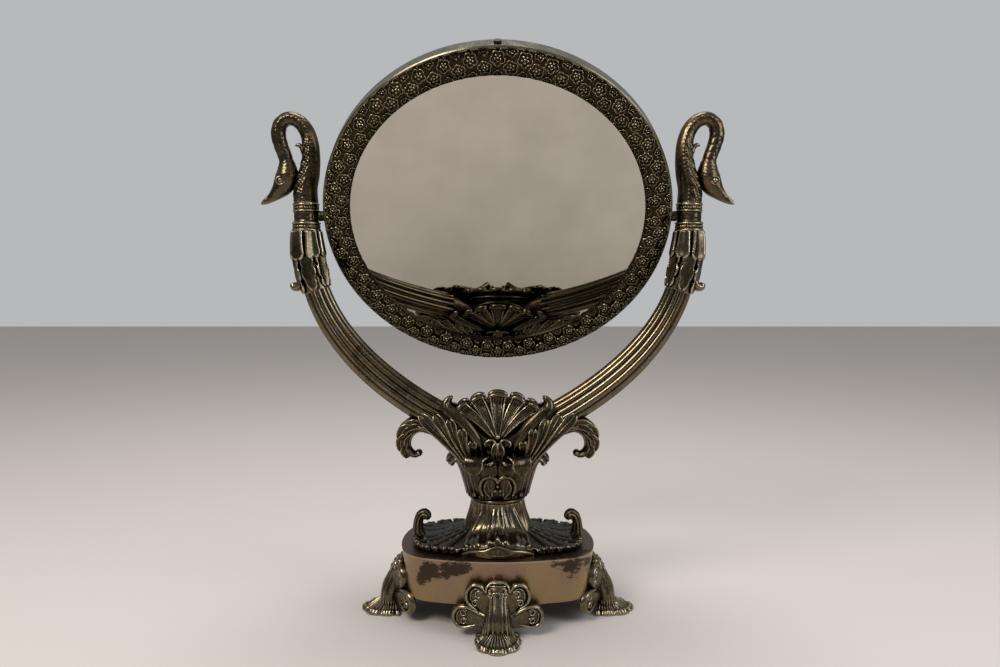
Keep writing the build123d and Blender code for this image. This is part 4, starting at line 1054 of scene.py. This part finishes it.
def draw_base_leaf():
    """Right leaf of the base: a hollow, veined blade with frilled lobes and a curled tip."""
    turn = np.linspace(-0.56 * np.pi, 0.56 * np.pi, 241)[None, :]
    share = np.linspace(0.08, 1.0, 60)[:, None]
    wave = LEAF_LOBES * (turn / np.pi + 0.5)
    lobe = np.abs(np.sin(np.pi * wave)) ** 0.5
    tooth = np.abs(np.sin(3 * np.pi * wave)) ** 0.7
    x_edge, y_edge = leaf_edge(turn)
    reach = share * (1 - share**4 * (0.1 * (1 - lobe) + 0.025 * (1 - tooth)))
    x = LEAF_ROOT - 6 + (x_edge - LEAF_ROOT + 6) * reach
    fall = 13.2 * (1 - share) ** 1.25 - 1.1 * np.sin(np.pi * share) * (1 - lobe)
    frill = share**7 * (3.6 * lobe - 0.4)
    middle = np.stack([x, y_edge * reach, PLINTH_TOP + 1.4 + fall + frill], -1)
    from_vein = np.abs(np.mod(wave, 1.0) - 0.5)
    gully = ridge(np.abs(np.mod(wave + 0.5, 1.0) - 0.5), 0, 0.06)
    barb = np.cos(2 * np.pi * (7 * share + 4.4 * from_vein))
    relief = 1.5 * ridge(from_vein, 0, 0.07) - 1.9 * gully + 0.45 * barb
    leaf = Casting().slab(middle, 1.3, relief * np.clip((share - 0.1) * 4, 0, 1))
    count = 2 * LEAF_LOBES + 3
    for index in range(count):
        draw_frill(leaf, index, count)
    leaf.bar(FINIAL, 60, fluting, 54)
    return leaf.ball((50.0, 0, 64.8), (2.3, 4.1, 2.3), 20)


# Feet


# Sweep of the side scrolls, for each square millimetre across, as the plinth's wall is bowed
FRONT_SWEEP = 0.0057
END_SWEEP = 0.0165
# Each foot's angle round the plinth, distance from the middle and sweep
FOOT_PLACES = {
    "foot_right": (0, 65.3, END_SWEEP), "foot_back": (90, 46.1, FRONT_SWEEP),
    "foot_left": (180, 65.3, END_SWEEP), "foot_front": (270, 46.1, FRONT_SWEEP),
}
# Stations of the shank: x, z, half thickness, half width
SHANK = [
    (8.4, 1.6, 5.4, 7.6), (8.9, 5.4, 5.8, 9.4), (8.6, 11.0, 6.6, 9.0), (7.0, 16.0, 7.2, 8.2),
    (4.6, 22.0, 6.7, 7.4), (2.6, 28.0, 5.7, 7.4), (1.4, 32.6, 4.7, 7.2), (0.4, 35.9, 3.3, 5.8),
    (-0.2, 37.4, 1.6, 3.2),
]
CAP_LINE = [
    (4.2, -7.2, 30.4), (4.0, -6.9, 33.4), (3.0, -4.4, 35.8), (2.8, 0, 36.8), (3.0, 4.4, 35.8),
    (4.0, 6.9, 33.4), (4.2, 7.2, 30.4),
]
LIP_LINE = [(25.6, -3.4, 1.5), (27.0, -1.6, 2.0), (27.4, 0, 2.1), (27.0, 1.6, 2.0), (25.6, 3.4, 1.5)]
# Side scrolls: outer band and inner line as (y, z), curls as (y, z, radius)
EAR_BAND = [
    (7.6, 29.6), (9.2, 32.6), (12.0, 34.5), (15.1, 34.6), (17.9, 32.7), (19.5, 29.6), (19.8, 26.4),
    (18.8, 23.2), (16.9, 20.9), (14.1, 18.9), (11.2, 16.0), (9.4, 13.2),
]
EAR_INSIDE = [
    (9.8, 29.4), (11.4, 31.4), (14.0, 32.1), (16.0, 30.9), (17.1, 28.0), (17.0, 24.8), (15.9, 22.6)
]
EAR_EYES = [(12.0, 28.3, 2.6), (14.2, 22.8, 2.3)]
WING_BAND = [
    (9.8, 14.6), (14.1, 17.6), (18.2, 19.6), (22.3, 20.1), (25.7, 18.9), (27.6, 16.0), (28.0, 12.4),
    (26.7, 9.0), (24.1, 7.1), (21.0, 6.9), (17.6, 7.8), (13.6, 8.6), (10.0, 8.4),
]
WING_INSIDE = [(20.6, 18.0), (23.6, 17.6), (25.6, 15.6), (26.0, 12.4), (25.0, 9.8), (22.8, 8.4)]
WING_EYES = [(21.6, 16.0, 2.5), (21.6, 10.6, 2.2)]
BAND_ROWS = 72


def swept_back(across, height, forward, sweep):
    """Place on a foot's side scroll, which follows the plinth's bowed wall."""
    across, height = np.asarray(across, float), np.asarray(height, float)
    return np.stack([forward - sweep * across**2 + 0 * height, across, height], -1)


def draw_scroll(foot, side, sweep, band, inside, eyes, root_top, root_bottom):
    """One side scroll of a foot: thick rolled band, thin inner one, plain web, two curls."""
    outer = smooth_path([(side * y, z, 0) for y, z in band], BAND_ROWS)
    share = np.linspace(0, 1, BAND_ROWS)
    thick = 0.5 + 1.05 * np.sin(np.pi * np.clip(share * 1.15, 0, 1)) ** 0.7
    band_path = swept_back(outer[:, 0], outer[:, 1], 3.4, sweep)
    foot.tube(band_path, RIGHT, 1.6 * thick, thick, around=18)
    inner = smooth_path([(side * y, z, 0) for y, z in inside], 50)
    thin = 0.3 + 0.35 * np.sin(np.linspace(0, np.pi, 50))
    inner_path = swept_back(inner[:, 0], inner[:, 1], 3.3, sweep)
    foot.tube(inner_path, RIGHT, 1.3 * thin, thin, around=12)
    root_height = np.linspace(root_top, root_bottom, BAND_ROWS)
    span = np.linspace(0, 1, 22)[None, :]
    across = 4.6 * side * (1 - span) + outer[:, 0][:, None] * span
    height = root_height[:, None] * (1 - span) + outer[:, 1][:, None] * span
    web = swept_back(across, height, 2.2, sweep)
    web[..., 0] += 4.4 * (1 - span) ** 1.6 - 0.9 * np.sin(np.pi * span)
    foot.slab(web if side > 0 else web[:, ::-1], 2.4)
    for y, z, radius in eyes:
        curl = spiral((side * y, 0, z), radius, 0.35 * radius, 90 + side * 60, side * -1.3, 36)
        width = np.linspace(0.8, 0.45, 36)
        curl_path = swept_back(curl[:, 0], curl[:, 2], 3.5, sweep)
        foot.tube(curl_path, RIGHT, 1.3 * width, 0.8 * width, around=10)


def shank_carving(length, angle, share):
    """Plain polished front panel, a raised line and flutes beside it, a band at the top."""
    front = np.clip(-np.sin(angle) * 1.6, 0, 1)
    across = np.abs(np.cos(angle))
    lines = 0.6 * ridge(across, 0.62, 0.07) - 0.6 * ridge(across, 0.5, 0.05)
    lines = lines + 0.4 * np.cos(24 * across) * np.clip((across - 0.68) * 6, 0, 1)
    on_panel = np.clip((0.8 - share) * 10, 0, 1)
    band = 0.6 * ridge(share, 0.89, 0.012) - 0.8 * ridge(share, 0.91, 0.01)
    band = band - 0.5 * ridge(share, 0.8, 0.01)
    ankle = 0.5 * np.cos(20 * angle) * np.clip((0.26 - share) * 8, 0, 1)
    return front * (lines * on_panel + band) + ankle


def draw_toe(foot):
    """Toe of the foot: a fan of fine ribs, domed at the ankle, that ends in small scallops."""
    turn = np.linspace(-0.62 * np.pi, 0.62 * np.pi, 321)[None, :]
    share = np.linspace(0, 1, 60)[:, None]
    lobe = np.abs(np.cos(4.5 * turn)) ** 0.6
    rib = np.abs(np.cos(20.5 * turn)) ** 0.8
    edge = (21.4 * np.cos(turn) ** 2 + 14.6 * np.sin(turn) ** 2) * (0.91 + 0.09 * lobe)
    reach = share * edge
    x = 6.7 + reach * np.cos(turn)
    y = reach * np.sin(turn) * (0.55 + 0.45 * share**0.7)
    dome = 9.2 * (1 - share**1.5) + 1.4
    carved = 1.3 * (rib - 0.6) * np.clip(share * 4, 0, 1) * (1 - 0.6 * share)
    scallop = (0.9 * lobe + 0.2) * ridge(share, 0.93, 0.05) - 0.8 * (1 - lobe) * share**6
    top = np.stack([x, y, np.maximum(dome + carved + scallop, 0.25)], -1)
    foot.between(top, np.stack([x, y, 0 * y + 0.02], -1))
    foot.tube(smooth_path(LIP_LINE, 22), (0, 0, 1), 0.9, 0.7, around=12)


def draw_foot(sweep):
    """One foot, drawn with its outside towards +X and its back at the plinth's edge."""
    foot = Casting()
    foot.bar(SHANK, 130, shank_carving, 120, (0, 1, 0))
    foot.tube(smooth_path(CAP_LINE, 46), RIGHT, 1.3, 0.9, around=14)
    for side in (-1, 1):
        eye = spiral((side * 4.4, 0, 29.6), 1.7, 0.5, 90, side * -1.4, 30)
        eye_path = np.stack([7.3 - 0.24 * (eye[:, 2] - 29.6), eye[:, 0], eye[:, 2]], -1)
        foot.tube(eye_path, RIGHT, 0.55, 0.45, around=8)
        draw_scroll(foot, side, sweep, EAR_BAND, EAR_INSIDE, EAR_EYES, 33.0, 10.0)
        draw_scroll(foot, side, sweep, WING_BAND, WING_INSIDE, WING_EYES, 15.5, 7.0)
    bud = smooth_path([(7.4, 0, 31.6, 1.0), (7.8, 0, 29.4, 1.8), (8.6, 0, 26.5, 0.5)], 16)
    foot.leaf(bud, (0, 1, 0), bud[:, 3], cup=0.4, midrib=0.5, thickness=1.2)
    draw_toe(foot)
    return foot


def placed_foot(angle, distance):
    """Change that moves a foot from its own place to its side of the plinth."""
    c, s = math.cos(math.radians(angle)), math.sin(math.radians(angle))
    turn = np.array([[c, s, 0], [-s, c, 0], [0, 0, 1]])
    return lambda points: (points + (distance, 0, 0)) @ turn


# Putting the pieces on the frame


def on_stand(node, casting, finish):
    """Put a casting in place of a CAD node of the stand."""
    make("cast_" + node, casting, finish, "stand", node)


def both_hands(name, casting, finish):
    """Put a right-hand casting and its left-hand partner on the stand."""
    on_stand(name + "_right", casting, finish)
    on_stand(name + "_left", Casting().join(casting, left_handed), finish)


both_hands("swan", draw_swan(), cast_silver)
both_hands("collar", draw_collar(), cast_silver)
both_hands("sheath", draw_sheath(), worn_silver)
both_hands("scroll", draw_bracket(), deep_silver)
shell = draw_shell()
on_stand("shell_front", shell, deep_silver)
on_stand("shell_back", Casting().join(shell, behind), deep_silver)
on_stand("leaf_cup", draw_cup(), deep_silver)
on_stand("column", draw_column(), worn_silver)
both_hands("leaf", draw_base_leaf(), leaf_silver)
for foot_name, (angle, distance, sweep) in FOOT_PLACES.items():
    placed = Casting().join(draw_foot(sweep), placed_foot(angle, distance))
    on_stand(foot_name, placed, worn_silver)
make("florets_front", draw_florets(1), rose_silver, "mirror", smoothing=1)
make("florets_back", draw_florets(-1), rose_silver, "mirror", smoothing=1)


# Room, light and camera


ROOM_HALF = 3000.0
FLOOR_CORNERS = [(-1, -1), (1, -1), (1, 1), (-1, 1)]
OBJECT_MIDDLE = (0, 0, 180)


def studio_paper(name, colour):
    """Matt paper sweep under the object: even, without shine."""
    material, tree = new_material(name)
    shade(tree, {"Base Color": linear(colour), "Roughness": 0.9, "Specular IOR Level": 0.1})
    return material


def soft_light(name, place, size, power, colour="#ffffff"):
    """Square softbox at a place in millimetres, turned to the middle of the object."""
    lamp = bpy.data.lights.new(name, "AREA")
    lamp.size = size * MM
    lamp.energy = power
    lamp.color = linear(colour)[:3]
    holder = bpy.data.objects.new(name, lamp)
    holder.location = Vector(place) * MM
    facing = Vector(OBJECT_MIDDLE) - Vector(place)
    holder.rotation_euler = facing.to_track_quat("-Z", "Y").to_euler()
    bpy.context.scene.collection.objects.link(holder)


floor_mesh = bpy.data.meshes.new("studio_floor")
corners = [(x * ROOM_HALF * MM, y * ROOM_HALF * MM, 0) for x, y in FLOOR_CORNERS]
floor_mesh.from_pydata(corners, [], [(0, 1, 2, 3)])
floor_mesh.materials.append(studio_paper("studio_floor", "#cbc4be"))
floor = bpy.data.objects.new("studio_floor", floor_mesh)
bpy.context.scene.collection.objects.link(floor)

soft_light("key_softbox", (-650, -800, 1050), 500, 11, "#fffaf2")
soft_light("fill_softbox", (900, -500, 600), 600, 4.5, "#f4f7ff")
soft_light("top_softbox", (0, 150, 1200), 500, 5)

# The camera sees an even pale backdrop; what lights the object is dimmer towards the horizon
world = bpy.data.worlds.new("studio")
world.use_nodes = True
room = world.node_tree
backdrop = room.nodes["Background"]
upward = add(room, "SeparateXYZ", "Z", (add(room, "TexCoord", "Generated"),))
dimmed = add(room, "MapRange", 0, (upward, 0.0, 0.8, 0.25, 0.75), **SMOOTH)
straight = add(room, "LightPath", "Is Camera Ray")
strength = add(room, "Mix", 0, {0: straight, 2: dimmed, 3: 0.72})
room.links.new(strength, backdrop.inputs["Strength"])
backdrop.inputs["Color"].default_value = linear("#d5d6d8")
bpy.context.scene.world = world

lens = bpy.data.cameras.new("photo_view")
lens.lens = FOCAL_LENGTH
lens.sensor_width = 36.0
lens.shift_x = CAMERA_SHIFT
lens.clip_start = 0.01
lens.clip_end = 20.0
camera = bpy.data.objects.new("photo_view", lens)
camera.location = Vector(CAMERA_PLACE) * MM
camera.rotation_euler = Euler((math.radians(90 + CAMERA_PITCH), 0, 0))
bpy.context.scene.collection.objects.link(camera)
bpy.context.scene.camera = camera
bpy.context.scene.view_settings.view_transform = "Standard"
